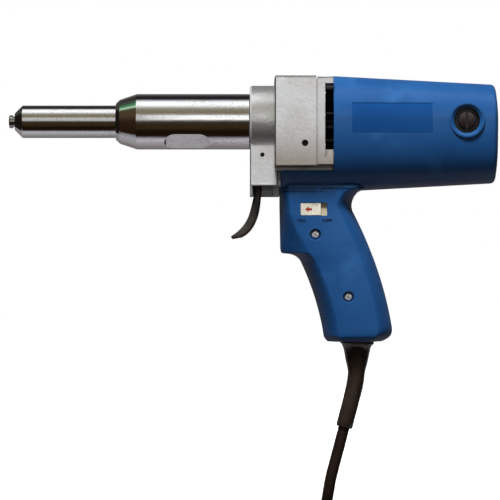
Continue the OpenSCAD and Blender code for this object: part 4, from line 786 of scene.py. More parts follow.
@dataclass
class Studio:
    """Camera, floor, lamps, and the striped tent that the chrome mirrors.

    The tent is cloth on hoops round the barrel's axis. Its stripes are the bright and dark bands that run
    along the chrome. Angles count from the camera's side, 0, over the top, 90, to the far side, 180.
    """

    camera_distance: float = 1900.0
    view_width: float = 347.5
    view_x: float = -63.6
    view_z: float = 14.3
    sensor: float = 36.0
    floor_z: float = -191.0
    floor_half: float = 6000.0
    tent_r: float = 1500.0
    tent_half: float = 2300.0
    stripes: tuple[tuple[float, str], ...] = (
        (-180, "5a5858"), (-150, "6e6a68"), (-128, "7a7574"), (-104, "8f8c8f"), (-86, "a8a6ac"),
        (-76, "969499"), (-70, "646164"), (-64, "181009"), (-41, "180e06"), (-28, "2d2314"),
        (-16, "302516"), (-8, "2e2820"), (-3, "3e3c38"), (2, "6e6c68"), (6, "acabac"), (22, "b4b3b1"),
        (28, "96928a"), (34, "756c5c"), (47, "7d7665"), (55, "96928a"), (61, "bcbcbc"), (68, "ebecec"),
        (76, "ffffff"), (86, "fafafa"), (93, "c3c4c7"), (99, "8c8e94"), (103, "46464a"),
        (107, "241f21"), (122, "221d1f"), (132, "383434"), (146, "5c5856"), (180, "5a5654"),
    )
    end_stripes: tuple[tuple[float, str], ...] = (
        (-180, "6e6a68"), (-104, "8f8c8f"), (-86, "94929a"), (-72, "7a7a7a"), (-62, "201409"),
        (0, "2a1c13"), (30, "45382a"), (52, "453828"), (62, "464b30"), (72, "aeceb5"), (80, "4f8a5c"),
        (97, "37493b"), (112, "3f3e3a"), (180, "3a3835"),
    )
    bright_band: tuple[float, float] = (3.0, 27.0)
    bright_from_x: float = -230.0
    bright_to_x: float = -120.0
    end_from_x: float = -640.0
    end_to_x: float = -800.0
    tent_strength: float = 1.3
    band_colour: str = "f6f8f4"
    cap_colour: str = "1a1613"
    light_below: str = "e0b48c"
    light_above: str = "d8e6ff"
    floor_as_seen: str = "ececea"
    floor_as_light: str = "34302e"
    lamp_aim: Place = (-20, 0, 60)
    lamps: tuple[tuple[str, Place, Point, float], ...] = (
        ("key_softbox", (-110, -850, 1470), (420, 420), 45.0),
        ("front_fill", (-40, -2200, 150), (400, 400), 2.7),
        ("back_softbox", (150, 1900, 620), (900, 500), 24.0),
    )

    def build(self) -> None:
        """Builds the camera first, then what lights the tool."""
        self.camera()
        self.world()
        self.floor()
        self.tent()
        for name, place, size, watts in self.lamps:
            self.lamp(name, place, size, watts)

    def camera(self) -> None:
        """Camera at the photograph's angle: level, square to the tool's side."""
        lens = bpy.data.cameras.new("camera")
        lens.sensor_width = self.sensor
        lens.lens = self.sensor * self.camera_distance / self.view_width
        lens.clip_end = 100.0
        made = new_object("camera", lens)
        made.location = Vector((self.view_x, -self.camera_distance, self.view_z)) * MM
        made.rotation_euler = (math.radians(90), 0, 0)
        bpy.context.scene.camera = made

    def world(self) -> None:
        """White round the tool as the eye and mirrors see it, and a soft light from above as it lights."""
        world = bpy.data.worlds.new("studio")
        world.use_nodes = True
        bpy.context.scene.world = world
        tree = world.node_tree
        tree.nodes.clear()
        bpy.context.scene.view_settings.view_transform = "Standard"
        seen = self.seen(tree)
        white = add(tree, "Background", {"Color": (1, 1, 1, 1), "Strength": 1.0})
        place = add(tree, "TexCoord").outputs["Generated"]
        height = add(tree, "SeparateXYZ", links={0: place}).outputs["Z"]
        level = add(tree, "MapRange", {"From Min": -0.5, "From Max": 0.9, "To Min": 0.02,
            "To Max": 0.14}, {"Value": height})
        tone = add(tree, "MapRange", {"From Min": -0.6, "From Max": 0.8}, {"Value": height})
        tint = add(tree, "Mix", {"data_type": "RGBA", 6: linear(self.light_below),
            7: linear(self.light_above)}, {0: tone.outputs[0]})
        soft = add(tree, "Background", {}, {"Color": tint.outputs[2], "Strength": level.outputs[0]})
        mixed = add(tree, "MixShader", links={0: seen, 1: soft.outputs[0], 2: white.outputs[0]})
        add(tree, "OutputWorld", links={"Surface": mixed.outputs[0]})

    def seen(self, tree: Tree) -> Socket:
        """Tells what the camera, a mirror or a glass sees from light that falls.

        Args:
            tree: Node tree that gets the nodes.

        Returns:
            Socket that is 1 for what is seen, and 0 for light.
        """
        path = add(tree, "LightPath")
        some = add(tree, "Math", {"operation": "MAXIMUM"},
            {0: path.outputs["Is Camera Ray"], 1: path.outputs["Is Glossy Ray"]})
        return add(tree, "Math", {"operation": "MAXIMUM"},
            {0: some.outputs[0], 1: path.outputs["Is Transmission Ray"]}).outputs[0]

    def floor(self) -> None:
        """Pale floor that goes white in the distance and keeps the tool's shadow."""
        half = self.floor_half
        shape = bmesh.new()
        corners = [(-half, -half), (half, -half), (half, half), (-half, half)]
        shape.faces.new([shape.verts.new((x, y, self.floor_z)) for x, y in corners])
        made = piece_from(shape, "studio_floor")
        material = blank("matt_studio_floor")
        tree = material.node_tree
        path = add(tree, "LightPath")
        grey = add(tree, "Mix", {"data_type": "RGBA", 6: linear(self.floor_as_light),
            7: linear(self.floor_as_seen)}, {0: path.outputs["Is Camera Ray"]})
        matt = add(tree, "BsdfDiffuse", links={"Color": grey.outputs[2]})
        where = add(tree, "NewGeometry").outputs["Position"]
        far = add(tree, "VectorMath", {"operation": "LENGTH"}, {0: where})
        lift = add(tree, "MapRange", {"From Min": 0.3, "From Max": 1.6, "To Min": 0.35,
            "To Max": 1.0}, {"Value": far.outputs["Value"]})
        strength = add(tree, "Math", {"operation": "MULTIPLY"}, {0: lift.outputs[0], 1: self.seen(tree)})
        glow = add(tree, "Emission", {"Color": (1, 1, 1, 1)}, {"Strength": strength.outputs[0]})
        both = add(tree, "AddShader", links={0: matt.outputs[0], 1: glow.outputs[0]})
        under = add(tree, "NewGeometry").outputs["Backfacing"]
        clear = add(tree, "BsdfTransparent")
        sides = add(tree, "MixShader", links={0: under, 1: both.outputs[0], 2: clear.outputs[0]})
        add(tree, "OutputMaterial", links={"Surface": sides.outputs[0]})
        made.data.materials.append(material)
        made.visible_glossy = False

    def tent(self) -> None:
        """Striped tent, which only mirrors see."""
        sides = 96
        rings = [[(x, -self.tent_r * math.cos(a), AXIS_Z + self.tent_r * math.sin(a))
            for a in full_turn(sides)] for x in (-self.tent_half, self.tent_half)]
        shape = bmesh.new()
        rows = [[shape.verts.new(p) for p in ring] for ring in rings]
        for i in range(sides):
            shape.faces.new((rows[0][i], rows[0][i - 1], rows[1][i - 1], rows[1][i]))
        for row in rows:
            shape.faces.new(row).material_index = 1
        made = piece_from(shape, "studio_tent")
        made.data.materials.append(self.tent_cloth())
        made.data.materials.append(self.cap_cloth())
        for ray in ("camera", "diffuse", "shadow", "transmission", "volume_scatter"):
            setattr(made, f"visible_{ray}", False)

    def cap_cloth(self) -> bpy.types.Material:
        """Dark cloth over both ends of the tent, which the nose's cone mirrors.

        Returns:
            The material.
        """
        material = blank("dark_tent_end_cloth")
        tree = material.node_tree
        glow = add(tree, "Emission", {"Color": linear(self.cap_colour), "Strength": 1.0})
        add(tree, "OutputMaterial", links={"Surface": glow.outputs[0]})
        return material

    def stripe_ramp(self, tree: Tree, share: Socket, stripes: Sequence[tuple[float, str]]) -> Socket:
        """Colour of a set of stripes.

        Args:
            tree: Node tree that gets the ramp.
            share: Socket with the share of the way round the tent.
            stripes: Angle in degrees and colour of each stop.

        Returns:
            Socket with the colour.
        """
        ramp = add(tree, "ValToRGB", links={0: share})
        stops = ramp.color_ramp.elements
        while len(stops) > 1:
            stops.remove(stops[-1])
        for k, (degrees, colour) in enumerate(stripes):
            stop = stops[0] if k == 0 else stops.new((degrees + 180) / 360)
            stop.position = (degrees + 180) / 360
            stop.color = linear(colour)
        return ramp.outputs["Color"]

    def tent_cloth(self) -> bpy.types.Material:
        """Lit cloth with the stripes, and others toward the nose's end, where the cones look.

        Returns:
            The material.
        """
        material = blank("striped_tent_cloth")
        tree = material.node_tree
        where = add(tree, "NewGeometry").outputs["Position"]
        parts = add(tree, "SeparateXYZ", links={0: where}).outputs
        near = add(tree, "Math", {"operation": "MULTIPLY", 1: -1.0}, {0: parts["Y"]})
        above = add(tree, "Math", {"operation": "SUBTRACT", 1: AXIS_Z * MM}, {0: parts["Z"]})
        angle = add(tree, "Math", {"operation": "ARCTAN2"}, {0: above.outputs[0], 1: near.outputs[0]})
        share = add(tree, "MapRange", {"From Min": -math.pi, "From Max": math.pi},
            {"Value": angle.outputs[0]}).outputs[0]
        middle = math.radians(sum(self.bright_band) / 2)
        half = math.radians(self.bright_band[1] - self.bright_band[0]) / 2
        off = add(tree, "Math", {"operation": "SUBTRACT", 1: middle}, {0: angle.outputs[0]})
        off = add(tree, "Math", {"operation": "ABSOLUTE"}, {0: off.outputs[0]})
        on_band = add(tree, "MapRange", {"interpolation_type": "SMOOTHSTEP", "From Min": half,
            "From Max": half * 0.5}, {"Value": off.outputs[0]})
        along = add(tree, "MapRange", {"interpolation_type": "SMOOTHSTEP",
            "From Min": self.bright_from_x * MM, "From Max": self.bright_to_x * MM}, {"Value": parts["X"]})
        lit = add(tree, "Math", {"operation": "MULTIPLY"}, {0: on_band.outputs[0], 1: along.outputs[0]})
        cloth = add(tree, "Mix", {"data_type": "RGBA", 7: linear(self.band_colour)},
            {0: lit.outputs[0], 6: self.stripe_ramp(tree, share, self.stripes)})
        toward_end = add(tree, "MapRange", {"From Min": self.end_from_x * MM,
            "From Max": self.end_to_x * MM}, {"Value": parts["X"]})
        cloth = add(tree, "Mix", {"data_type": "RGBA"}, {0: toward_end.outputs[0],
            6: cloth.outputs[2], 7: self.stripe_ramp(tree, share, self.end_stripes)})
        glow = add(tree, "Emission", {"Strength": self.tent_strength}, {"Color": cloth.outputs[2]})
        add(tree, "OutputMaterial", links={"Surface": glow.outputs[0]})
        return material

    def lamp(self, name: str, place: Place, size: Point, watts: float) -> None:
        """Softbox that points at the gear case and isn't mirrored.

        Args:
            name: Name of the lamp.
            place: Where it hangs.
            size: Width and height.
            watts: Its power.
        """
        light = bpy.data.lights.new(name, "AREA")
        light.shape = "RECTANGLE"
        light.size, light.size_y = size[0] * MM, size[1] * MM
        light.energy = watts
        made = new_object(name, light)
        made.location = Vector(place) * MM
        aim = Vector(self.lamp_aim) * MM - made.location
        made.rotation_euler = aim.to_track_quat("-Z", "Y").to_euler()
        made.visible_glossy = False


# The cord, its guard, its coil and its plug


@dataclass
class CordSet:
    """Supply cord from the grip to its coil on the floor, with bend guard, tie and plug."""

    cord_d: float = 8.0
    route: tuple[Place, ...] = (
        (1.7, 0, -109), (-1.4, 0, -121), (-4.6, 0, -133), (-7.4, 0, -144), (-9, 0.6, -153),
        (-10.5, 3.8, -163), (-11.7, 9.8, -172), (-12.8, 17.8, -179.2), (-13.6, 27, -183.8),
    )
    lead: tuple[Place, ...] = (
        (33, -6, -177.8), (25, -6, -177.8), (17, -6, -178.2), (9, -6, -179.7), (1, -6, -181.6),
        (-6, -6, -182.5), (-12, -6, -182.5),
    )
    coil_middle: Point = (41.0, 47.0)
    outer_turn_r: float = 56.0
    lower_turns: float = 3.0
    climb_turns: float = 0.15
    upper_turns: float = 2.6315
    entry_angle: float = 191.33
    lower_z: float = -185.8
    points_a_turn: int = 20
    guard_course: tuple[Place, ...] = (
        (10.8, 0, -49.2), (10.8, 0, -50.6), (10.7, 0, -51.4), (10.7, 0, -53.5), (10.7, 0, -57),
        (10.6, 0, -60.5), (10.6, 0, -64), (10.5, 0, -67.4), (10.3, 0, -71), (9.8, 0, -76), (8.9, 0, -81),
        (7.2, 0, -88), (5.4, 0, -95), (3.5, 0, -102), (2.0, 0, -107.8), (1.8, 0, -108.6), (1.7, 0, -109),
    )
    guard_radii: tuple[float, ...] = (
        11.7, 11.7, 10.6, 9.5, 8.75, 8.15, 7.4, 6.5, 5.85, 5.85, 5.85, 5.85, 5.85, 5.85, 5.85, 5.5, 4.6,
    )
    plug_x: float = -15.0
    plug_y: float = -6.0
    plug_z: float = -182.5
    plug_l: float = 32.0
    plug_sections: tuple[Place, ...] = (
        (0.0, 4.9, 4.9), (-1.0, 6.0, 6.0), (-6, 9.5, 7.6), (-13, 15.0, 8.3), (-19, 16.9, 8.5),
        (-27, 17.8, 8.5), (-31.2, 18.0, 8.5), (-31.8, 17.7, 8.2), (-32, 17.2, 7.8),
    )
    pin_pitch: float = 19.0
    pin_d: float = 4.8
    pin_l: float = 19.0
    tie_w: float = 5.0
    tie_t: float = 1.2
    coil_w: float = 32.0

    def build(self) -> None:
        """Builds the plug and its pins, then the cord, the guard and the tie."""
        plug, pins = self.plug(), self.pins()
        self.cord([plug, *pins])
        self.guard()
        self.tie()

    def coil(self) -> list[Place]:
        """Turns of the coil: inward on the floor, up, and outward on top.

        Returns:
            Places along the cord's middle.
        """
        total = self.lower_turns + self.climb_turns + self.upper_turns
        steps = round(total * self.points_a_turn)
        inner_r = self.outer_turn_r - self.cord_d * self.lower_turns
        points = []
        for k in range(steps + 1):
            turn = total * k / steps
            up = min(1.0, max(0.0, (turn - self.lower_turns) / self.climb_turns))
            outward = max(0.0, turn - self.lower_turns - self.climb_turns)
            radius = max(inner_r, self.outer_turn_r - self.cord_d * turn) + self.cord_d * outward
            angle = math.radians(self.entry_angle - 360 * turn)
            points.append((self.coil_middle[0] + radius * math.cos(angle),
                self.coil_middle[1] + radius * math.sin(angle), self.lower_z + self.cord_d * up))
        return points

    def cord(self, on_it: Sequence[Piece]) -> None:
        """One round cord along the whole route.

        Args:
            on_it: The separate pieces on the cord; not used.
        """
        points = [*self.route, *self.coil(), *self.lead]
        curve = bpy.data.curves.new("supply_cord", "CURVE")
        curve.dimensions = "3D"
        curve.bevel_depth = self.cord_d / 2 * MM
        curve.bevel_resolution = 7
        curve.use_fill_caps = True
        curve.resolution_u = 6
        line = curve.splines.new("BEZIER")
        line.bezier_points.add(len(points) - 1)
        for knot, place in zip(line.bezier_points, points):
            knot.co = Vector(place) * MM
            knot.handle_left_type = knot.handle_right_type = "AUTO"
        made = new_object("supply_cord", curve)
        curve.materials.append(CORD_RUBBER.material())
        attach(made, Body.TOOL.value)
        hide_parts("cord", "cord_coil")

    def guard(self) -> None:
        """Rubber bend guard: a trumpet under the grip that runs out into a slim tube."""
        made = tube("cord_guard_rubber", list(zip(self.guard_course, self.guard_radii)), 64)
        smooth(made, 35)
        finish_piece(made, RUBBER, ["cord_guard"])

    def tie(self) -> None:
        """Band round the coil's turns."""
        x = self.coil_middle[0] + self.outer_turn_r + self.cord_d / 2 - self.coil_w / 2
        y, half = self.coil_middle[1], self.tie_w / 2
        low = self.lower_z - self.cord_d / 2
        high = low + 2 * self.cord_d
        out, t = self.coil_w / 2, self.tie_t
        band = block("cord_tie_band", (x - out - t, y - half, low - t), (x + out + t, y + half, high + t),
            3.0, 0.4, Along.Y)
        hole = block("tie_hole", (x - out - 0.05, y - half - 1, low - 0.05),
            (x + out + 0.05, y + half + 1, high + 0.05), 2.0, 0.0, Along.Y)
        cut(band, hole)
        smooth(band)
        finish_piece(band, BLACK_NYLON, ["cord_tie"])

    def plug(self) -> Piece:
        """Moulded two-pin plug with grip ribs and a short ribbed guard, lying on the floor.

        Returns:
            The plug.
        """
        rings = []
        for x, half_w, half_t in self.plug_sections:
            radius = min(half_w, half_t, 5.0)
            outline = rounded([(-half_w, -half_t, radius), (half_w, -half_t, radius),
                (half_w, half_t, radius), (-half_w, half_t, radius)], 8)
            rings.append([(self.plug_x + x, self.plug_y + u, self.plug_z + v) for u, v in outline])
        made = loft("plug_moulding", rings)
        for k in range(5):
            at = self.plug_x - 12.5 - 3.4 * k
            for side in (-1, 1):
                groove = rod("rib_groove", (at, self.plug_y + side * 19.2, self.plug_z - 6),
                    (at, self.plug_y + side * 19.2, self.plug_z + 6), 1.9, None, 24)
                cut(made, groove)
        stations = []
        for k in range(25):
            x = -0.5 + 12.5 * k / 24
            ridge = 0.35 * math.sin(k * math.pi / 2) if 0 < k < 24 else 0
            stations.append(((self.plug_x + x, self.plug_y, self.plug_z), 5.6 - 0.09 * x + ridge))
        guard = tube("plug_guard", stations, 40)
        join(made, guard)
        smooth(made, 32)
        return finish_piece(made, RUBBER, ["plug_body"])

    def pins(self) -> list[Piece]:
        """Two nickel-plated pins with rounded tips.

        Returns:
            The near and the far pin.
        """
        made = []
        tip = 2.2
        for side, name in ((-1, "plug_pin_near"), (1, "plug_pin_far")):
            y = self.plug_y + side * self.pin_pitch / 2
            start = self.plug_x - self.plug_l
            radius = self.pin_d / 2
            stations = [((start + 0.5, y, self.plug_z), radius),
                ((start - self.pin_l + tip, y, self.plug_z), radius)]
            stations += [((start - self.pin_l + tip - tip * math.sin(a), y, self.plug_z),
                max(0.5, radius - 1.3 * (1 - math.cos(a)))) for a in quarter(6, 1)]
            pin = tube(name, stations, 40)
            smooth(pin, 50)
            made.append(finish_piece(pin, NICKEL, ["plug_pins"]))
        return made


# The barrel


@dataclass
class Barrel:
    """Chromed barrel: nosepiece, slim front sleeve, and main sleeve with two wrench flats."""

    flange_front_x: float = -230.9
    flange_l: float = 2.9
    front_x: float = -226.9
    main_x: float = -156.7
    case_x: float = -63.7
    nosepiece_r: float = 4.5
    shank_r: float = 3.5
    shank_end_x: float = -207.2
    shank_end_r: float = 2.2
    seat_x: float = -214.9
    tail_x: float = -143.2
    tail_r: float = 9.8
    tail_bore_r: float = 8.4
    socket_r: float = 9.9
    bore_r: float = 1.55
    face_r: float = 5.9
    front_r: float = 11.3
    main_r: float = 19.25
    lip_r: float = 12.2
    lip_l: float = 2.8
    lip_out_r: float = 15.3
    cone_l: float = 11.8
    thread_r: float = 18.0
    thread_l: float = 5.7
    bore_front_r: float = 14.5
    bore_rear_r: float = 16.5
    bore_step_x: float = -100.0
    flat_depth: float = 1.4
    flat_l: float = 16.2
    flat_end_x: float = -99.0
    flat_run_r: float = 22.0
    flat_turn: float = 51.0
    columns_a_flat: int = 25
    columns_between: int = 110

    def build(self) -> None:
        """Builds the three turned pieces, from the nose back."""
        self.nosepiece()
        self.front_sleeve()
        self.main_sleeve()

    def nosepiece(self) -> None:
        """Hardened nosepiece with its flange and bore."""
        x, r = self.flange_front_x, self.nosepiece_r
        outline = rounded([(x, self.bore_r + 0.5, 0), (x, r, 0.9), (x + self.flange_l, r, 0.5),
            (x + self.flange_l, self.shank_r, 0.2), (self.seat_x, self.shank_r, 0),
            (self.shank_end_x, self.shank_end_r, 0), (self.shank_end_x, self.bore_r, 0),
            (x + 0.5, self.bore_r, 0)], 5)
        made = smooth(turned("nosepiece_turned", outline, 128), 25)
        finish_piece(made, TURNED, ["nosepiece"])

    def front_sleeve(self) -> None:
        """Slim chromed sleeve with its nose cone."""
        cone_l = self.front_r - self.face_r
        outline = rounded([(self.front_x, self.shank_r + 0.15, 0.3), (self.front_x, self.face_r, 0.5),
            (self.front_x + cone_l, self.front_r, 1.6), (self.main_x + 0.5, self.front_r, 0),
            (self.main_x + 0.5, self.tail_r, 0), (self.tail_x, self.tail_r, 0),
            (self.tail_x, self.tail_bore_r, 0), (self.seat_x, self.tail_bore_r, 0),
            (self.seat_x, self.shank_r + 0.15, 0)], 8)
        made = smooth(turned("front_sleeve_chromed", outline), 25)
        finish_piece(made, CHROME, ["front_sleeve"])

    def flat_reach(self, x: float) -> float:
        """Distance of the wrench flat's surface from the axis.

        Args:
            x: Place along the barrel.

        Returns:
            The distance, more than the sleeve's radius where there is no flat.
        """
        floor = self.main_r - self.flat_depth
        past = max(x - self.flat_end_x, self.flat_end_x - self.flat_l - x, 0.0)
        if past >= self.flat_run_r:
            return self.main_r + 1
        return floor + self.flat_run_r - math.sqrt(self.flat_run_r ** 2 - past ** 2)

    def main_outline(self) -> tuple[list[Point], int]:
        """Outline of the main sleeve.

        Returns:
            Its points of X and radius, and how many of them, from the first, are on the outside.
        """
        start, cone_end = self.main_x, self.main_x + self.lip_l + self.cone_l
        lip = rounded([(start, self.socket_r, 0), (start, self.lip_r + 0.4, 0.8),
            (start + self.lip_l, self.lip_out_r, 1.2), (cone_end, self.main_r, 2.2),
            (cone_end + 8, self.main_r, 0), (cone_end + 8, self.socket_r, 0)], 7)[:-1]
        run = math.sqrt(self.flat_run_r ** 2 - (self.flat_run_r - self.flat_depth) ** 2)
        low, high = self.flat_end_x - self.flat_l - run, self.flat_end_x + run
        steps = 24
        crowding = 1.6
        stations = [low - 1.5]
        for k in range(steps + 1):
            stations.append(low + run * (k / steps) ** crowding)
        stations += [self.flat_end_x - self.flat_l + 4, self.flat_end_x - 4]
        for k in range(steps, -1, -1):
            stations.append(high - run * (k / steps) ** crowding)
        stations.append(high + 1.5)
        outside = lip + [(x, self.main_r) for x in stations]
        outside += [(self.case_x - 0.5, self.main_r), (self.case_x, self.main_r - 0.4)]
        inside = [(self.case_x, self.thread_r), (self.case_x + self.thread_l, self.thread_r),
            (self.case_x + self.thread_l, self.bore_rear_r), (self.bore_step_x, self.bore_rear_r),
            (self.bore_step_x, self.bore_front_r), (self.tail_x, self.bore_front_r),
            (self.tail_x, self.socket_r)]
        return outside + inside, len(outside)

    def main_sleeve(self) -> None:
        """Main chromed sleeve, with its columns of faces drawn in along the edges of the flats."""
        outline, outer = self.main_outline()
        columns: list[tuple[int, float, bool]] = []
        for flat in (0, 1):
            half = (self.columns_a_flat - 1) / 2
            columns += [(flat, (k - half) / half, True) for k in range(self.columns_a_flat)]
            columns += [(flat, (k + 1) / (self.columns_between + 1), False)
                for k in range(self.columns_between)]
        rings = []
        for flat, share, on_flat in columns:
            middle = math.radians(-self.flat_turn) + math.pi * flat
            ring = []
            for k, (x, r) in enumerate(outline):
                reach = self.flat_reach(x) if k < outer else self.main_r + 1
                half = max(math.radians(9), math.acos(min(1.0, reach / self.main_r)))
                turn = share * half if on_flat else half + share * (math.pi - 2 * half)
                if k < outer and on_flat:
                    r = min(r, reach / math.cos(turn))
                angle = middle + turn
                ring.append((x, -r * math.cos(angle), AXIS_Z + r * math.sin(angle)))
            rings.append(ring)
        made = smooth(loft("main_sleeve_chromed", rings, closed=True), 9)
        finish_piece(made, CHROME, ["main_sleeve"])


# The cast head


@dataclass
class GearHead:
    """Cast gear case with its collar and trigger bracket, and the bearing housing behind it."""

    case_x: float = -63.7
    block_x: float = -46.6
    middle_x: float = -17.7
    motor_x: float = -6.3
    saddle_z: float = 68.8
    collar_r: float = 25.0
    block_half_y: float = 30.0
    block_half_z: float = 31.5
    block_top: float = 30.5
    block_r: float = 1.9
    low_r: float = 0.8
    middle_half_y: float = 29.3
    middle_half_z: float = 30.8
    middle_top: float = 29.7
    near_z: float = 58.4
    far_z: float = 51.4
    lug_end_x: float = -43.2
    lug_top: float = 61.8
    rest_end_x: float = -42.2
    rest_top: float = 62.4
    leg_half: float = 20.0
    leg_chamfer: float = 2.6
    slot_half: float = 6.0
    slot_top: float = 86.4
    foot_half: float = 22.0
    web_end_x: float = -61.5
    web_x: float = -47.8
    thread_end_x: float = -58.0
    bearing_end_x: float = -42.8
    thread_r: float = 18.0
    nut_space_r: float = 20.0
    screw_space_r: float = 11.0
    gear_space_r: float = 26.0
    fan_space_r: float = 23.5
    shaft_hole_r: float = 9.5
    lay_offset: float = 11.455
    lay_space_r: float = 14.5
    lay_hole_r: float = 4.1
    lay_hole_l: float = 26.5
    pin_x: float = -55.1
    pin_z: float = 79.9
    pin_hole_r: float = 1.55
    screw_y: float = 24.5
    screw_z: float = 26.0
    screw_hole_r: float = 2.05
    screw_head_r: float = 3.7
    screw_thread_r: float = 2.0
    window_x: float = -12.2
    window_low: float = -20.0
    window_high: float = 25.2
    sill_low: float = -25.3
    groove_depth: float = 1.2
    sill_depth: float = 8.0
    side_screw_x: float = -25.9
    side_screw_z: float = 87.6
    side_recess_r: float = 2.25

    def build(self) -> None:
        """Builds both castings."""
        self.gear_case()
        self.bearing_housing()

    def bore(self, x_from: float, x_to: float, radius: float, y: float = 0.0, z: float = 0.0) -> Piece:
        """Round cutter along X, beside the barrel's axis by y and z."""
        return rod("bore", (x_from, y, AXIS_Z + z), (x_to, y, AXIS_Z + z), radius, None, 96)

    def bracket(self) -> list[Piece]:
        """Walls, web and lugs of the trigger bracket, each a block with cast edges.

        Returns:
            The blocks.
        """
        top = AXIS_Z - 12
        near = extruded("near_wall", rounded([(self.case_x, top, 0), (self.block_x + 2, top, 0),
            (self.block_x + 2, self.near_z, 0.8), (self.case_x, self.near_z, 1.4)], 5),
            -self.leg_half, self.leg_half, 1.0)
        far = extruded("far_wall", rounded([(self.case_x, top, 0), (self.block_x, top, 0),
            (self.block_x, self.far_z, 0.8), (self.case_x + self.leg_chamfer, self.far_z, 0.8),
            (self.case_x, self.far_z + self.leg_chamfer, 0.8)], 5), self.slot_half, self.leg_half, 0.7)
        web = block("web", (self.case_x, -self.slot_half - 3, self.far_z),
            (self.web_end_x, self.leg_half - 0.5, top), 0.5, 0.5, Along.Y)
        lug = block("lower_lug", (self.web_x, -self.slot_half, self.far_z),
            (self.lug_end_x, self.leg_half, self.lug_top), 0.6, 0.6, Along.Y)
        rest = block("saddle_lug", (self.web_x, 4 - self.foot_half, self.near_z - 0.6),
            (self.rest_end_x, self.foot_half - 4, self.rest_top), 0.7, 0.7, Along.Y)
        neck = block("lug_neck", (self.web_x, -self.slot_half - 2, self.near_z),
            (self.rest_end_x, self.foot_half - 4, AXIS_Z - self.block_half_z + 0.5), 0.5, 0.5, Along.Y)
        foot = block("foot", (self.block_x, -self.foot_half, self.saddle_z),
            (self.middle_x, self.foot_half, AXIS_Z - self.block_half_z + 3), 0.5, 0.4, Along.X)
        return [near, far, web, lug, rest, neck, foot]

    def gear_case(self) -> None:
        """Main casting: turned collar, square block and bracket in one piece."""
        edge = 1.5
        stations = [(self.case_x + edge * (1 - math.cos(a)), self.collar_r - edge * (1 - math.sin(a)))
            for a in quarter(6)]
        stations.append((self.block_x + 4, self.collar_r))
        made = tube("gear_case_casting", [((x, 0, AXIS_Z), r) for x, r in stations], 160)
        body = block("square_block", (self.block_x, -self.block_half_y, AXIS_Z - self.block_half_z),
            (self.middle_x, self.block_half_y, AXIS_Z + self.block_top), self.block_r, 1.0, Along.X, 8,
            0.75, self.low_r)
        join(made, body)
        for part in self.bracket():
            join(made, part)
        for cutter in self.case_cutters():
            cut(made, cutter)
        smooth(made, 28)
        finish_piece(made, CASTING, ["gear_case"])
        self.paint_edge_shade(made)
        made.data.materials.append(COLLAR.material())
        for face in made.data.polygons:
            off = math.hypot(face.center.y, face.center.z - AXIS_Z * MM) / MM
            turned = self.collar_r * 0.985 < off < self.collar_r * 1.01 and abs(face.normal.x) < 0.2
            if turned and face.center.x < self.block_x * MM:
                face.material_index = 2

    def paint_edge_shade(self, made: Piece) -> None:
        """Gives a casting's rounded outer edges a darker, more metallic finish: painted shade along them.

        Args:
            made: The casting, which has one material so far.
        """
        # Painted shade: the slanted outer faces get the darker edge finish.
        made.data.materials.append(SHADED_CAST_EDGE.material())
        for face in made.data.polygons:
            across = abs(face.center.y) / MM
            up = face.center.z / MM - AXIS_Z
            if up < -self.block_half_z:
                outside = across > self.slot_half + 1
            elif face.center.x < self.block_x * MM:
                outside = up < 0 and self.leg_half - 1.1 < across < self.leg_half + 0.1
            else:
                level = -self.middle_half_z < up < self.middle_top - 2
                outside = across > self.middle_half_y - 2 or not level
            if outside and max(abs(value) for value in face.normal) < 0.98:
                face.material_index = 1

    def case_cutters(self) -> list[Piece]:
        """Everything that is bored or milled out of the main casting.

        Returns:
            The cutters.
        """
        cutters = [
            self.bore(self.case_x - 1, self.thread_end_x + 0.1, self.thread_r),
            self.bore(self.thread_end_x, self.web_x, self.nut_space_r),
            self.bore(self.web_x - 1, self.bearing_end_x + 1, self.screw_space_r),
            self.bore(self.bearing_end_x, self.middle_x + 1, self.gear_space_r),
            self.bore(self.bearing_end_x, self.middle_x + 1, self.lay_space_r, self.lay_offset,
                self.lay_offset),
            box("trigger_slot", (self.web_end_x, -self.slot_half, 0),
                (self.web_x, self.slot_half, self.slot_top)),
            rod("pin_hole", (self.pin_x, -40, self.pin_z), (self.pin_x, 40, self.pin_z), self.pin_hole_r,
                None, 48),
            rod("side_recess", (self.side_screw_x, -self.block_half_y - 1, self.side_screw_z),
                (self.side_screw_x, -self.block_half_y + 3, self.side_screw_z), self.side_recess_r,
                None, 48),
        ]
        cutters += self.joint_groove(self.middle_x - 0.5, self.middle_x + 1)
        for y in (-self.screw_y, self.screw_y):
            for z in (-self.screw_z, self.screw_z):
                cutters.append(self.bore(self.block_x - 1, self.middle_x + 1, self.screw_hole_r, y, z))
                cutters.append(self.bore(self.block_x - 1, self.block_x + 4, self.screw_head_r, y, z))
        return cutters

    def joint_groove(self, x_from: float, x_to: float) -> list[Piece]:
        """Cutters that take the castings' edges back at their joint, as the shadow line there shows.

        Args:
            x_from: Front end of the groove.
            x_to: Its rear end.

        Returns:
            The cutters.
        """
        half, deep = self.block_half_z, self.groove_depth
        cutters = []
        for side in (-1, 1):
            y = sorted((side * (self.middle_half_y - deep), side * 60))
            cutters.append(box("side_groove", (x_from, y[0], AXIS_Z - half), (x_to, y[1], AXIS_Z + half)))
        cutters.append(box("top_groove", (x_from, -60, AXIS_Z + self.middle_top - deep),
            (x_to, 60, AXIS_Z + half + 20)))
        return cutters

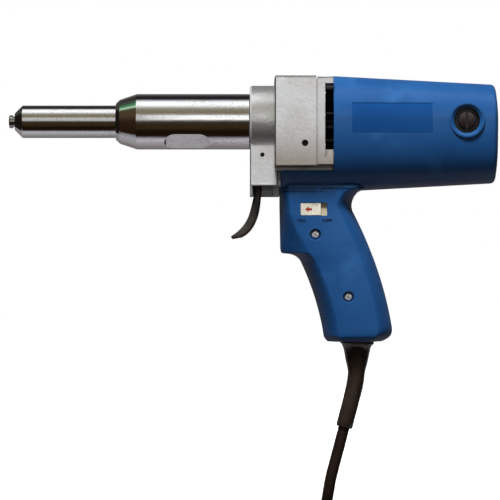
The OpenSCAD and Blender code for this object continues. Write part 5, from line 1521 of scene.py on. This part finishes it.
    def bearing_housing(self) -> None:
        """Second casting: bearing plate with the fan's space, open at both sides as exhaust."""
        made = block("bearing_housing_casting",
            (self.middle_x, -self.middle_half_y, AXIS_Z - self.middle_half_z),
            (self.motor_x, self.middle_half_y, AXIS_Z + self.middle_top), 1.6, 0.75, Along.X, 8, 0.4,
            self.low_r)
        foot = block("rear_foot", (self.middle_x, -self.foot_half, self.saddle_z),
            (self.motor_x, self.foot_half, AXIS_Z - self.middle_half_z + 3), 0.5, 0.3, Along.X)
        join(made, foot)
        cutters = [
            self.bore(self.window_x - 0.4, self.motor_x + 1, self.fan_space_r),
            self.bore(self.middle_x - 1, self.window_x + 1, self.shaft_hole_r),
            self.bore(self.middle_x - 1, self.bearing_end_x + self.lay_hole_l, self.lay_hole_r,
                self.lay_offset, self.lay_offset),
            box("exhaust_windows", (self.window_x, -60, AXIS_Z + self.window_low),
                (self.motor_x + 1, 60, AXIS_Z + self.window_high)),
            box("sunk_sill", (self.window_x, -60, AXIS_Z + self.sill_low),
                (self.motor_x + 1, self.sill_depth - self.middle_half_y, AXIS_Z + self.window_low + 0.1)),
        ]
        cutters += self.joint_groove(self.middle_x - 1, self.middle_x + 0.4)
        for y in (-self.screw_y, self.screw_y):
            for z in (-self.screw_z, self.screw_z):
                cutters.append(self.bore(self.middle_x - 1, self.middle_x + 3.6, self.screw_thread_r, y, z))
        for cutter in cutters:
            cut(made, cutter)
        smooth(made, 28)
        finish_piece(made, CASTING, ["middle_housing"])
        self.paint_edge_shade(made)


@dataclass
class TriggerLever:
    """Black trigger that hangs on its pin and curls forward under the finger."""

    pin_x: float = -55.1
    pin_z: float = 79.9
    tip_z: float = 21.9
    web_z: float = 51.4
    front_x: float = -61.2
    thickness: float = 6.2
    curl: float = 16.0
    width: float = 11.0
    edge: float = 2.0
    eye_r: float = 3.9
    arm_x: float = -50.4
    arm_r: float = 2.3
    arm_h: float = 8.5

    def build(self) -> None:
        """Builds the lever."""
        self.lever()

    def faces(self) -> list[tuple[Point, Point, float]]:
        """Stations of the blade, from the pin down to its tip.

        Returns:
            Front point, rear point and half width of each.
        """
        half = self.width / 2
        rear_x = self.front_x + self.thickness - 0.9
        stations = [((self.pin_x - 2.6, self.pin_z), (self.pin_x + 2.6, self.pin_z), half)]
        top_front, top_rear = (self.front_x, self.web_z + 6), (rear_x + 0.35, self.web_z + 6)
        for k in range(1, 5):
            stations.append((bow(stations[0][0], self.between(stations[0][0], top_front), top_front, k / 4),
                bow(stations[0][1], self.between(stations[0][1], top_rear), top_rear, k / 4), half))
        steps = 24
        for k in range(steps + 1):
            t = k / steps
            front = bow((self.front_x - 1.3 * min(1, 4 * t), self.web_z - 1.4 + 1.4 * (1 - min(1, 4 * t))),
                (self.front_x - 1.3, self.tip_z + 11.6),
                (self.pin_x - self.curl * 1.25, self.tip_z + 3.1), t)
            rear = bow((rear_x, self.web_z - 1.4 + 1.4 * (1 - min(1, 4 * t))),
                (rear_x - 1.6, self.tip_z + 6.6), (self.pin_x - self.curl * 0.89, self.tip_z + 1), t)
            stations.append((front, rear, half))
        tip_x = self.pin_x - self.curl * 1.3
        for front, rear, narrow in (((-0.35, 2.4), (2.6, 0.3), 0.05), ((-0.75, 1.7), (1.2, 0.02), 0.3),
                ((-0.85, 1.1), (0.3, 0.02), 0.9), ((-0.7, 0.75), (-0.1, 0.2), 1.8)):
            stations.append(((tip_x + front[0], self.tip_z + front[1]),
                (tip_x + rear[0], self.tip_z + rear[1]), half - narrow))
        return stations

    def between(self, a: Point, b: Point) -> Point:
        """Middle of two points."""
        return (a[0] + b[0]) / 2, (a[1] + b[1]) / 2

    def lever(self) -> None:
        """Blade as a skin through rounded sections, joined to the eye and the arm."""
        rings = []
        for front, rear, half in self.faces():
            across = Vector(rear) - Vector(front)
            depth = across.length
            radius = min(self.edge, depth * 0.46, half * 0.9)
            outline = rounded([(0, -half, radius), (depth, -half, radius), (depth, half, radius),
                (0, half, radius)], 6)
            unit = across.normalized()
            rings.append([(front[0] + unit.x * u, v, front[1] + unit.y * u) for u, v in outline])
        made = loft("trigger_lever", rings)
        eye = tube("eye", [((self.pin_x, y, self.pin_z), r) for y, r in ((-5.5, 3.5), (-5.1, 3.9),
            (5.1, 3.9), (5.5, 3.5))], 64)
        join(made, eye)
        arm_outline = [(self.pin_x + self.eye_r * 0.85, self.pin_z - 0.4),
            (self.arm_x + 2.07, self.pin_z + self.arm_h - 1.4),
            (self.arm_x + 1.84, self.pin_z + self.arm_h + 0.3),
            (self.arm_x - 1.84, self.pin_z + self.arm_h + 0.3), (self.arm_x - 2.07, self.pin_z + 5.6),
            (self.pin_x - 2.6, self.pin_z + 2.2)]
        join(made, extruded("arm", arm_outline, -5.2, 5.2, 0.4))
        end = rod("arm_end", (self.arm_x, -5.0, self.pin_z + self.arm_h),
            (self.arm_x, 5.0, self.pin_z + self.arm_h), self.arm_r)
        join(made, end)
        cut(made, rod("pin_bore", (self.pin_x, -20, self.pin_z), (self.pin_x, 20, self.pin_z), 1.6))
        for side in (-1, 1):
            cut(made, rod("spring_recess", (self.pin_x, side * 3.4, self.pin_z),
                (self.pin_x, side * 8, self.pin_z), 3.2))
        smooth(made, 40)
        made.visible_glossy = False
        finish_piece(made, BLACK_STEEL, ["trigger"], Body.TRIGGER)


# The moulded housing


@dataclass
class MotorHousing:
    """Blue moulding: tapered drum, saddle under the castings, and grip with a screwed near half."""

    motor_x: float = -6.3
    drum_l: float = 112.6
    front_top: float = 31.7
    rear_top: float = 25.7
    front_side: float = 32.0
    rear_side: float = 26.5
    front_drop: float = 48.9
    rear_drop: float = 42.8
    fullness: float = 2.4
    rear_edge: float = 3.0
    dome: float = 2.0
    wall: float = 2.4
    saddle_x: float = -42.1
    saddle_z: float = 68.8
    around: int = 192
    label_x: float = 6.1
    label_end_x: float = 61.7
    label_low: float = 94.7
    label_high: float = 115.3
    label_depth: float = 0.5
    brush_x: float = 85.1
    boss_r: float = 12.25
    boss_y: float = 28.64
    well_r: float = 8.85
    well_y: float = 24.64
    bevel_r: float = 10.85
    head_front: float = 43.2
    half_grip: float = 17.5
    edge_r: float = 11.0
    side_depth: float = 17.5
    side_fall: float = 0.42
    face_course: tuple[Point, ...] = ((60, -36.3), (50, -36.3), (45, -36.2), (41.7, -35.8), (38, -35.0),
        (34, -33.7), (30, -31.9), (26, -29.9), (22, -27.6), (18, -25.0), (15, -23.1), (12, -21.2),
        (9, -19.3), (6.3, -17.5))
    chin_z: float = 15.0
    chin_h: float = 3.0
    throat_z: float = 12.0
    throat_h: float = 5.7
    grip_z: float = 6.3
    throat_course: tuple[Point, Point, Point] = ((-40.8, 0), (-31.4, 0), (-28.4, 0))
    front_course: tuple[Point, Point, Point] = ((-28.4, 0), (-16.5, 0), (-12.6, 0))
    rear_course: tuple[Point, Point, Point] = ((8.3, 0), (28.8, 0), (35.2, 0))
    neck_z: float = 44.0
    fillet_l: float = 9.5
    fillet_h: float = 12.4
    back_z: float = 40.0
    toe_z: float = -44.5
    toe_h: float = 4.7
    heel_z: float = -40.3
    heel_h: float = 8.9
    bottom_z: float = -49.2
    top_z: float = 59.2
    split_z: float = 54.6
    split_high_z: float = 57.0
    split_x: float = -14.6
    seam: float = 0.4
    screw_spots: tuple[Point, ...] = ((-18.6, 25.0), (4.2, -18.1))
    screw_floor: float = 14.3
    recess_r: float = 3.65
    window_low: Point = (-28.8, 38.0)
    window_high: Point = (-10.4, 47.0)
    guard_x: float = 10.8
    guard_hole_r: float = 10.0
    guard_hole_z: float = -46.0
    vent_pitch: float = 4.6

    def build(self) -> None:
        """Builds the moulding, its cover, the bare label place and the letters."""
        self.moulding()
        self.cover()
        self.label_field()
        self.letters("switch_letters_on", "ON", (-30.9, 33.5), 5.2)
        self.letters("switch_letters_off", "OFF", (-13.9, 33.5), 7.0)

    def section(self, x: float, at: float, inset: float) -> Ring:
        """Egg-shaped ring of the drum.

        Args:
            x: Where the drum has the ring's size.
            at: X of the ring itself.
            inset: How far it is drawn in.

        Returns:
            The ring's places.
        """
        share = (x - self.motor_x) / self.drum_l
        top = self.front_top + (self.rear_top - self.front_top) * share - inset
        side = self.front_side + (self.rear_side - self.front_side) * share - inset
        drop = self.front_drop + (self.rear_drop - self.front_drop) * share - inset
        ring = []
        for k in range(self.around):
            a = 2 * math.pi * (k + 0.5) / self.around
            c, s = math.cos(a), math.sin(a)
            power = 2 / self.fullness if s < 0 else 1.0
            height = drop if s < 0 else top
            ring.append((at, side * math.copysign(abs(c) ** power, c),
                AXIS_Z + height * math.copysign(abs(s) ** power, s)))
        return ring

    def drum(self, name: str, inset: float, x_from: float, x_to: float, edge: float, dome: float,
             front_edge: float = 0.0) -> Piece:
        """Drum with a rounded rear edge and a domed rear face.

        Args:
            name: Name of the new piece.
            inset: How far its skin lies inside the outer one.
            x_from: Front end.
            x_to: Where the rear face starts to dome.
            edge: Radius of the rear edge.
            dome: Height of the dome.
            front_edge: Radius of the front edge.

        Returns:
            The new piece.
        """
        rings = []
        if front_edge > 0:
            for a in quarter(4)[:-1]:
                rings.append(self.section(x_from, x_from + front_edge * (1 - math.cos(a)),
                    inset + front_edge * (1 - math.sin(a))))
            x_from += front_edge
        rings.append(self.section(x_from, x_from, inset))
        for k in range(1, 12):
            x = x_from + (x_to - edge - x_from) * k / 12
            rings.append(self.section(x, x, inset))
        for a in quarter(8):
            x = x_to - edge + edge * math.sin(a)
            rings.append(self.section(x, x, inset + edge * (1 - math.cos(a))))
        for k in range(1, 8):
            share = k / 7
            rings.append(self.section(x_to, x_to + dome * (1 - (1 - share) ** 2),
                inset + edge + (self.rear_side - edge - inset) * share / 1.1))
        return loft(name, rings)

    def saddle(self, name: str, inset: float, x_from: float, edge: float = 0.0) -> Piece:
        """Tongue under the castings, with the drum's section, cut off level above.

        Args:
            name: Name of the new piece.
            inset: How far its skin lies inside the outer one.
            x_from: Front end.
            edge: Radius of the front edge.

        Returns:
            The new piece.
        """
        rings = []
        if edge > 0:
            for a in quarter(4)[:-1]:
                rings.append(self.section(self.motor_x, x_from + edge * (1 - math.cos(a)),
                    inset + edge * (1 - math.sin(a))))
        rings.append(self.section(self.motor_x, x_from + edge, inset))
        rings.append(self.section(self.motor_x, self.motor_x + 1, inset))
        made = loft(name, rings)
        keep = box("saddle_space", (x_from - 5, -100, 0), (self.motor_x + 2, 100, self.saddle_z - inset))
        return combine(made, keep, Carve.KEEP)

    def front(self, z: float) -> float:
        """Front edge of the handle.

        Args:
            z: Height.

        Returns:
            X of the edge at that height.
        """
        if z > self.chin_z:
            return -self.head_front + 0.02 * max(0.0, self.neck_z - z)
        if z > self.throat_z:
            chin = 1 - math.sqrt(max(0.0, 1 - ((self.chin_z - z) / self.chin_h) ** 2))
            return -self.head_front + 0.7 + 1.5 * chin
        if z > self.grip_z:
            return bow(*self.throat_course, math.sqrt((self.throat_z - z) / self.throat_h))[0]
        t = min(1.0, (self.grip_z - z) / (self.grip_z - self.toe_z))
        toe = 3.2 * (max(0.0, self.toe_z - z) / self.toe_h) ** 2
        return bow(*self.front_course, t)[0] + toe

    def rear(self, z: float) -> float:
        """Rear edge of the handle.

        Args:
            z: Height.

        Returns:
            X of the edge at that height.
        """
        if z > self.neck_z:
            up = min(1.0, (z - self.neck_z) / self.fillet_h)
            return 6.8 + self.fillet_l * (1 - math.sqrt(max(0.0, 1 - up ** 2)))
        if z > self.back_z:
            return 7.0 + 1.3 * ((self.neck_z - z) / (self.neck_z - self.back_z)) ** 2
        t = min(1.0, (self.back_z - z) / (self.back_z - self.heel_z))
        heel = 8 * (max(0.0, self.heel_z - z) / self.heel_h) ** 3.2
        return bow(*self.rear_course, t)[0] - heel

    def handle_section(self, z: float, inset: float) -> Ring:
        """Ring of the handle, with softer corners in the grip than in the head.

        Args:
            z: Height of the ring.
            inset: How far it is drawn in.

        Returns:
            The ring's places.
        """
        front, rear = self.front(z) + inset, self.rear(z) - inset
        half = self.half_grip - 2.6 * (max(0.0, self.toe_z - z) / self.toe_h) ** 2 - inset
        deep = self.side_depth + (self.edge_r - self.side_depth) * min(1.0, max(0.0, (z - 45) / 12)) - inset
        front_r = self.face_front(z) - self.front(z) if z > self.grip_z else self.edge_r
        wide = max(1.0, front_r - inset)
        rear_r = self.edge_r - inset
        fall = 1 + self.side_fall * (deep + inset - self.edge_r) / (self.side_depth - self.edge_r)
        corners = ((rear, half, rear_r, deep, 0), (front, half, wide, deep, 90),
            (front, -half, wide, deep, 180), (rear, -half, rear_r, deep, 270))
        ring = []
        for x, y, along, across, start in corners:
            middle_x = x - math.copysign(along, 1 if start in (0, 270) else -1)
            middle_y = y - math.copysign(across, y)
            for k in range(13):
                angle = math.radians(start + 90 * k / 12)
                a, b = math.cos(angle), math.sin(angle)
                ring.append((middle_x + math.copysign(abs(a) ** fall, a) * along,
                    middle_y + math.copysign(abs(b) ** fall, b) * across, z))
        return ring

    def face_front(self, z: float) -> float:
        """Where the flat side face begins in the head of the handle.

        Args:
            z: Height.

        Returns:
            X of that line at the height.
        """
        course = self.face_course
        for (high, x_high), (low, x_low) in zip(course, course[1:]):
            if z >= low:
                share = min(1.0, (high - z) / (high - low))
                return x_high + (x_low - x_high) * share
        return course[-1][1]

    def handle(self, name: str, inset: float = 0.0) -> Piece:
        """The whole handle, outside or drawn in by the wall.

        Args:
            name: Name of the new piece.
            inset: How far it is drawn in.

        Returns:
            The new piece.
        """
        low, high = self.bottom_z + inset * 1.08, self.top_z - inset * 0.9
        fixed = [low, low + 0.25, low + 0.6, low + 1.1, low + 1.8, low + 2.7, low + 3.7, self.toe_z,
            *(self.grip_z + 0.475 * k for k in range(13)), *(self.throat_z + 0.25 * k for k in range(13)),
            self.neck_z, high]
        even = [self.toe_z + 2.6 * k for k in range(1, 40)]
        levels = sorted({round(z, 3) for z in [*fixed, *even] if low <= z <= high})
        levels = [z for k, z in enumerate(levels) if k == 0 or z - levels[k - 1] > 0.12]
        return loft(name, [self.handle_section(z, inset) for z in levels])

    def cover_space(self, gap: float) -> Piece:
        """Where the near half of the handle is a cover of its own, up to the stepped seam."""
        low = box("cover_space", (-150, -150, -150), (150, -gap, self.split_z - gap))
        high = box("cover_step", (self.split_x + gap, -150, 0), (149, -gap - 0.01, self.split_high_z - gap))
        return join(low, high)

    def hollow(self) -> Piece:
        """Space inside the mouldings.

        Returns:
            The cutter.
        """
        made = self.drum("hollow", self.wall, self.motor_x - 1, self.motor_x + self.drum_l - self.wall, 2.0,
            0.05)
        join(made, self.saddle("saddle_hollow", self.wall, self.saddle_x + self.wall))
        join(made, self.handle("handle_hollow", self.wall))
        for side in (-1, 1):
            cut(made, rod("brush_tower", (self.brush_x, side * 15, AXIS_Z),
                (self.brush_x, side * 45, AXIS_Z), self.boss_r - 1))
        for x, z in self.screw_spots:
            cut(made, rod("screw_tower", (x, -30, z), (x, 30, z), self.recess_r + 1.2))
        return made

    def guard_hole(self) -> Piece:
        """Cutter for the bend guard's way through the end of the handle."""
        return rod("guard_hole", (self.guard_x, 0, self.bottom_z - 1),
            (self.guard_x, 0, self.guard_hole_z), self.guard_hole_r)

    def moulding(self) -> None:
        """Drum, saddle and far half of the handle in one moulding."""
        end_x = self.motor_x + self.drum_l
        made = self.drum("motor_housing_moulding", 0.0, self.motor_x, end_x, self.rear_edge, self.dome, 0.4)
        cut(made, self.label_cutter(self.label_depth, 0.0))
        join(made, self.saddle("saddle", 0.0, self.saddle_x, 0.9))
        far_half = cut(self.handle("far_half"), self.cover_space(0.0))
        join(made, far_half)
        for side in (-1, 1):
            join(made, self.boss(side))
        cut(made, self.hollow())
        for side in (-1, 1):
            cut(made, self.well(side))
        cut(made, self.guard_hole())
        for row in (-3, -2, 2, 3):
            for side in (-1, 1):
                z = AXIS_Z + row * self.vent_pitch
                slot = block("intake_slot", (end_x - self.wall - 2, side * 10 - 5.5, z - 0.9),
                    (end_x + 5, side * 10 + 5.5, z + 0.9), 0.89, 0.0, Along.X, 5)
                cut(made, slot)
        smooth(made, 30)
        finish_piece(made, BLUE_NYLON, ["motor_housing"])

    def label_cutter(self, depth: float, margin: float) -> Piece:
        """What is above the floor of the label's place, on the near side only.

        Args:
            depth: Depth of the floor under the drum's skin.
            margin: How far the outline is drawn in.

        Returns:
            The cutter.
        """
        low = (self.label_x + margin, -50, self.label_low + margin)
        high = (self.label_end_x - margin, -10, self.label_high - margin)
        made = block("label_cutter", low, high, 0.6, 0.0, Along.Y, 4)
        floor = self.drum("label_floor", depth, self.motor_x, self.motor_x + self.drum_l, self.rear_edge,
            self.dome)
        return cut(made, floor)

    def label_field(self) -> None:
        """Bare foil in the label's place: smoother and deeper blue than the moulding round it."""
        made = self.label_cutter(self.label_depth + 0.05, 0.25)
        made.name = "label_field_foil"
        above = self.label_cutter(self.label_depth - 0.12, -1.0)
        cut(made, above)
        smooth(made, 30)
        finish_piece(made, LABEL_FOIL)

    def boss(self, side: int) -> Piece:
        """Round boss with a softened outer edge, at one brush."""
        stations = [(10, 14.0), (22.6, 13.05), (28.0, self.boss_r + 0.15), (28.3, self.boss_r),
            (28.55, self.boss_r - 0.22), (self.boss_y, self.boss_r - 0.6)]
        return tube("brush_boss", [((self.brush_x, side * y, AXIS_Z), r) for y, r in stations], 128)

    def well(self, side: int) -> Piece:
        """Well of one brush cap, with its wide bevel."""
        stations = [(self.well_y, self.well_r), (self.boss_y - 1.5, self.well_r),
            (self.boss_y - 0.05, self.bevel_r), (self.boss_y + 3, self.bevel_r + 0.2)]
        return tube("brush_well", [((self.brush_x, side * y, AXIS_Z), r) for y, r in stations], 128)

    def cover(self) -> None:
        """Near half of the handle, with the switch's window and two screw recesses."""
        made = combine(self.handle("handle_cover_moulding"), self.cover_space(self.seam), Carve.KEEP)
        cut(made, self.hollow())
        cut(made, self.drum("drum_clearance", -0.3, self.motor_x - 1, self.motor_x + self.drum_l, 3.0, 0.5))
        cut(made, self.saddle("saddle_clearance", -0.3, self.saddle_x - 1.5))
        window = block("switch_window", (self.window_low[0], -30, self.window_low[1]),
            (self.window_high[0], -5, self.window_high[1]), 0.6, 0.0, Along.Y, 4)
        cut(made, window)
        for x, z in self.screw_spots:
            stations = [(-self.screw_floor, self.recess_r), (0.6 - self.half_grip, self.recess_r),
                (-self.half_grip, self.recess_r + 0.5), (-self.half_grip - 3, self.recess_r + 0.5)]
            recess = tube("screw_recess", [((x, y, z), r) for y, r in stations], 64)
            cut(made, recess)
        cut(made, self.guard_hole())
        smooth(made, 30)
        finish_piece(made, BLUE_NYLON, ["handle_cover"])

    def letters(self, name: str, words: str, place: Point, width: float) -> None:
        """Pad-printed letters, a hair above the cover's face.

        Args:
            name: Name of the new piece.
            words: What they say.
            place: X and Z of their lower left corner.
            width: Width of the whole word.
        """
        curve = bpy.data.curves.new(name, "FONT")
        curve.body = words
        curve.size = 3.0 * MM
        curve.offset = 0.16 * MM
        curve.extrude = 0.02 * MM
        written = new_object("written", curve)
        bpy.context.view_layer.update()
        shaped = written.evaluated_get(bpy.context.evaluated_depsgraph_get())
        mesh = bpy.data.meshes.new_from_object(shaped)
        mesh.name = name
        bpy.data.objects.remove(written)
        made = new_object(name, mesh)
        real = max(v.co.x for v in mesh.vertices) - min(v.co.x for v in mesh.vertices)
        mesh.transform(Matrix.Diagonal((width * MM / real, 1.0, 1.0, 1.0)))
        mesh.transform(Matrix.Rotation(math.radians(90), 4, "X"))
        mesh.transform(Matrix.Translation(Vector((place[0], -self.half_grip, place[1])) * MM))
        finish_piece(made, BLUE_INK)


@dataclass
class HandParts:
    """What the hand and the screwdriver meet: slide switch, cover screws and brush caps."""

    slider_low: Place = (-28.65, -17.1, 38.1)
    slider_high: Place = (-14.75, -15.15, 46.9)
    rib_pitch: float = 1.1
    arrow_x: float = -25.7
    arrow_end_x: float = -21.0
    arrow_z: float = 42.3
    screw_spots: tuple[Point, ...] = ((-18.6, 25.0), (4.2, -18.1))
    head_r: float = 2.7
    head_floor: float = 14.3
    head_t: float = 1.6
    shank_r: float = 1.5
    brush_x: float = 85.1
    cap_r: float = 6.0
    cap_t: float = 2.6
    well_y: float = 24.64
    liner_r: float = 8.8
    cap_slot: Point = (1.8, 1.2)

    def build(self) -> None:
        """Builds all small outer parts."""
        self.slider()
        self.arrow()
        self.cover_screws()
        self.caps()

    def slider(self) -> None:
        """White slider with three thumb grooves at its rear end and its hook into the switch."""
        made = block("switch_slider_moulded", self.slider_low, self.slider_high, 0.7, 0.35, Along.Y, 4)
        low, high = self.slider_low, self.slider_high
        for k in range(3):
            x = high[0] - 2.2 - self.rib_pitch * 1.6 * k
            groove = rod("rib_groove", (x, low[1] - 0.28, low[2] + 1.2), (x, low[1] - 0.28, high[2] - 1.2),
                0.62, None, 20)
            cut(made, groove)
        hook = box("hook", (low[0] + 5.3, high[1] - 0.3, 41.1), (low[0] + 8.3, high[1] + 2.1, 43.9))
        join(made, hook)
        smooth(made, 30)
        finish_piece(made, SWITCH_WHITE, ["switch_slider"], Body.SWITCH)

    def arrow(self) -> None:
        """Red arrow printed on the slider, pointing forward."""
        z, y = self.arrow_z, self.slider_low[1]
        outline = [(self.arrow_x, z), (self.arrow_x + 2.4, z - 1.9), (self.arrow_x + 2.4, z - 0.8),
            (self.arrow_end_x, z - 0.8), (self.arrow_end_x, z + 0.8), (self.arrow_x + 2.4, z + 0.8),
            (self.arrow_x + 2.4, z + 1.9)]
        made = extruded("switch_arrow_printed", outline, y - 0.02, y + 0.05)
        finish_piece(made, SWITCH_RED, body=Body.SWITCH)

    def cover_screws(self) -> None:
        """Zinc-plated pan heads with a cross recess."""
        for number, (x, z) in enumerate(self.screw_spots, 1):
            top = self.head_floor + self.head_t
            stations = [(9.0, self.shank_r - 0.6), (8.0, self.shank_r), (-self.head_floor, self.shank_r),
                (-self.head_floor - 0.01, self.head_r)]
            stations += [(-self.head_floor - 0.7 - 0.9 * math.sin(a),
                self.head_r * (0.45 + 0.55 * math.cos(a))) for a in quarter(6)]
            made = tube(f"cover_screw_{number}", [((x, y, z), r) for y, r in stations], 64)
            for turn in (25.0, 115.0):
                blade = block("cross_recess", (-1.55, -top - 1, -0.34), (1.55, -top + 1.0, 0.34), 0.1, 0.0,
                    Along.Y, 2)
                blade.data.transform(Matrix.Translation(Vector((x, 0, z)) * MM)
                    @ Matrix.Rotation(math.radians(turn), 4, "Y"))
                cut(made, blade)
            smooth(made, 30)
            # Near-white zinc heads: their brightness is partly a painted reflection.
            finish_piece(made, ZINC_PAINTED_BRIGHT, ["handle_screws"])

    def caps(self) -> None:
        """Slotted brush caps, one in each well."""
        for side, name in ((-1, "brush_cap_near"), (1, "brush_cap_far")):
            stations = [(self.well_y - 2.0, 4.4), (self.well_y, 4.4), (self.well_y + 0.01, self.cap_r),
                (self.well_y + self.cap_t - 0.6, self.cap_r)]
            stations += [(self.well_y + self.cap_t - 0.6 + 0.6 * math.sin(a),
                self.cap_r - 0.6 * (1 - math.cos(a))) for a in quarter(5, 1)]
            made = tube(name, [((self.brush_x, side * y, AXIS_Z), r) for y, r in stations], 96)
            floor = self.well_y + self.cap_t - self.cap_slot[1]
            ends = sorted((side * floor, side * (floor + 4)))
            half = self.cap_slot[0] / 2
            slot = box("driver_slot", (self.brush_x - half, ends[0], AXIS_Z - 8),
                (self.brush_x + half, ends[1], AXIS_Z + 8))
            cut(made, slot)
            smooth(made, 30)
            finish_piece(made, PHENOLIC, ["brush_caps"])
            self.liner(side, f"{name}_liner")

    def liner(self, side: int, name: str) -> None:
        """Black cup that lines the well round the cap, so the well is black round it.

        Args:
            side: -1 for the near well, 1 for the far one.
            name: Name of the new piece.
        """
        outer, inner, y = self.liner_r, self.cap_r + 0.25, self.well_y
        section = [(y + 0.02, inner), (y + 0.4, inner), (y + 0.6, inner + 0.2), (y + 0.6, outer - 0.8),
            (y + 0.9, outer - 0.5), (y + 2.6, outer - 0.45), (y + 2.8, outer - 0.2), (y + 2.7, outer),
            (y + 0.02, outer)]
        rings = [[(self.brush_x + r * math.cos(a), side * u, AXIS_Z + r * math.sin(a))
            for u, r in section] for a in full_turn(96)]
        made = smooth(loft(name, rings, closed=True), 35)
        finish_piece(made, BLACK_NYLON)


@dataclass
class InnerWorks:
    """Parts inside the tool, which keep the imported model's own shapes and get their finishes here."""

    finishes: tuple[tuple[Finish, tuple[str, ...]], ...] = (
        (TURNED, ("jaw_housing", "jaw_pusher", "nut_bearings", "clutch_sleeve", "clutch_bearing",
            "clutch_fork", "armature_shaft", "front_bearing", "rear_bearing")),
        (HARDENED, ("jaw_1", "jaw_2", "jaw_3", "draw_screw", "drive_nut", "clutch_cup", "clutch_gear",
            "layshaft")),
        (SPRING, ("jaw_spring", "return_spring", "clutch_spring", "trigger_spring", "brush_springs")),
        (ZINC_PAINTED_BRIGHT, ("clutch_washer", "case_screws", "motor_screws", "clamp_screws")),
        (BRONZE, ("layshaft_bushes", "brush_holders")),
        # The brushes are carbon; the side screw and trigger pin get the black as painted shade in their
        # deep holes.
        (CARBON_AND_HOLE_SHADE, ("side_screw", "trigger_pin", "brushes")),
        (CORE_SHEET, ("armature_core", "field_core")),
        (ENAMEL_WIRE, ("armature_windings", "field_coils")),
        (COPPER, ("commutator",)),
        (BLACK_NYLON, ("fan", "cord_clamp")),
        (SWITCH_DARKER, ("switch_body",)),
        (EPOXY, ("capacitor",)),
        (LEAD_PVC, ("inner_leads",)),
    )

    def build(self) -> None:
        """Gives every part that stays its finish."""
        for finish, names in self.finishes:
            for name in names:
                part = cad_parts[name]
                part.data.materials.clear()
                part.data.materials.append(finish.material())


def main() -> None:
    """Builds the scene: camera and cord first, then the tool from its nose back."""
    logging.basicConfig(level=logging.INFO, format="%(message)s")
    Studio().build()
    CordSet().build()
    Barrel().build()
    GearHead().build()
    TriggerLever().build()
    MotorHousing().build()
    HandParts().build()
    InnerWorks().build()


if __name__ == "__main__":
    main()
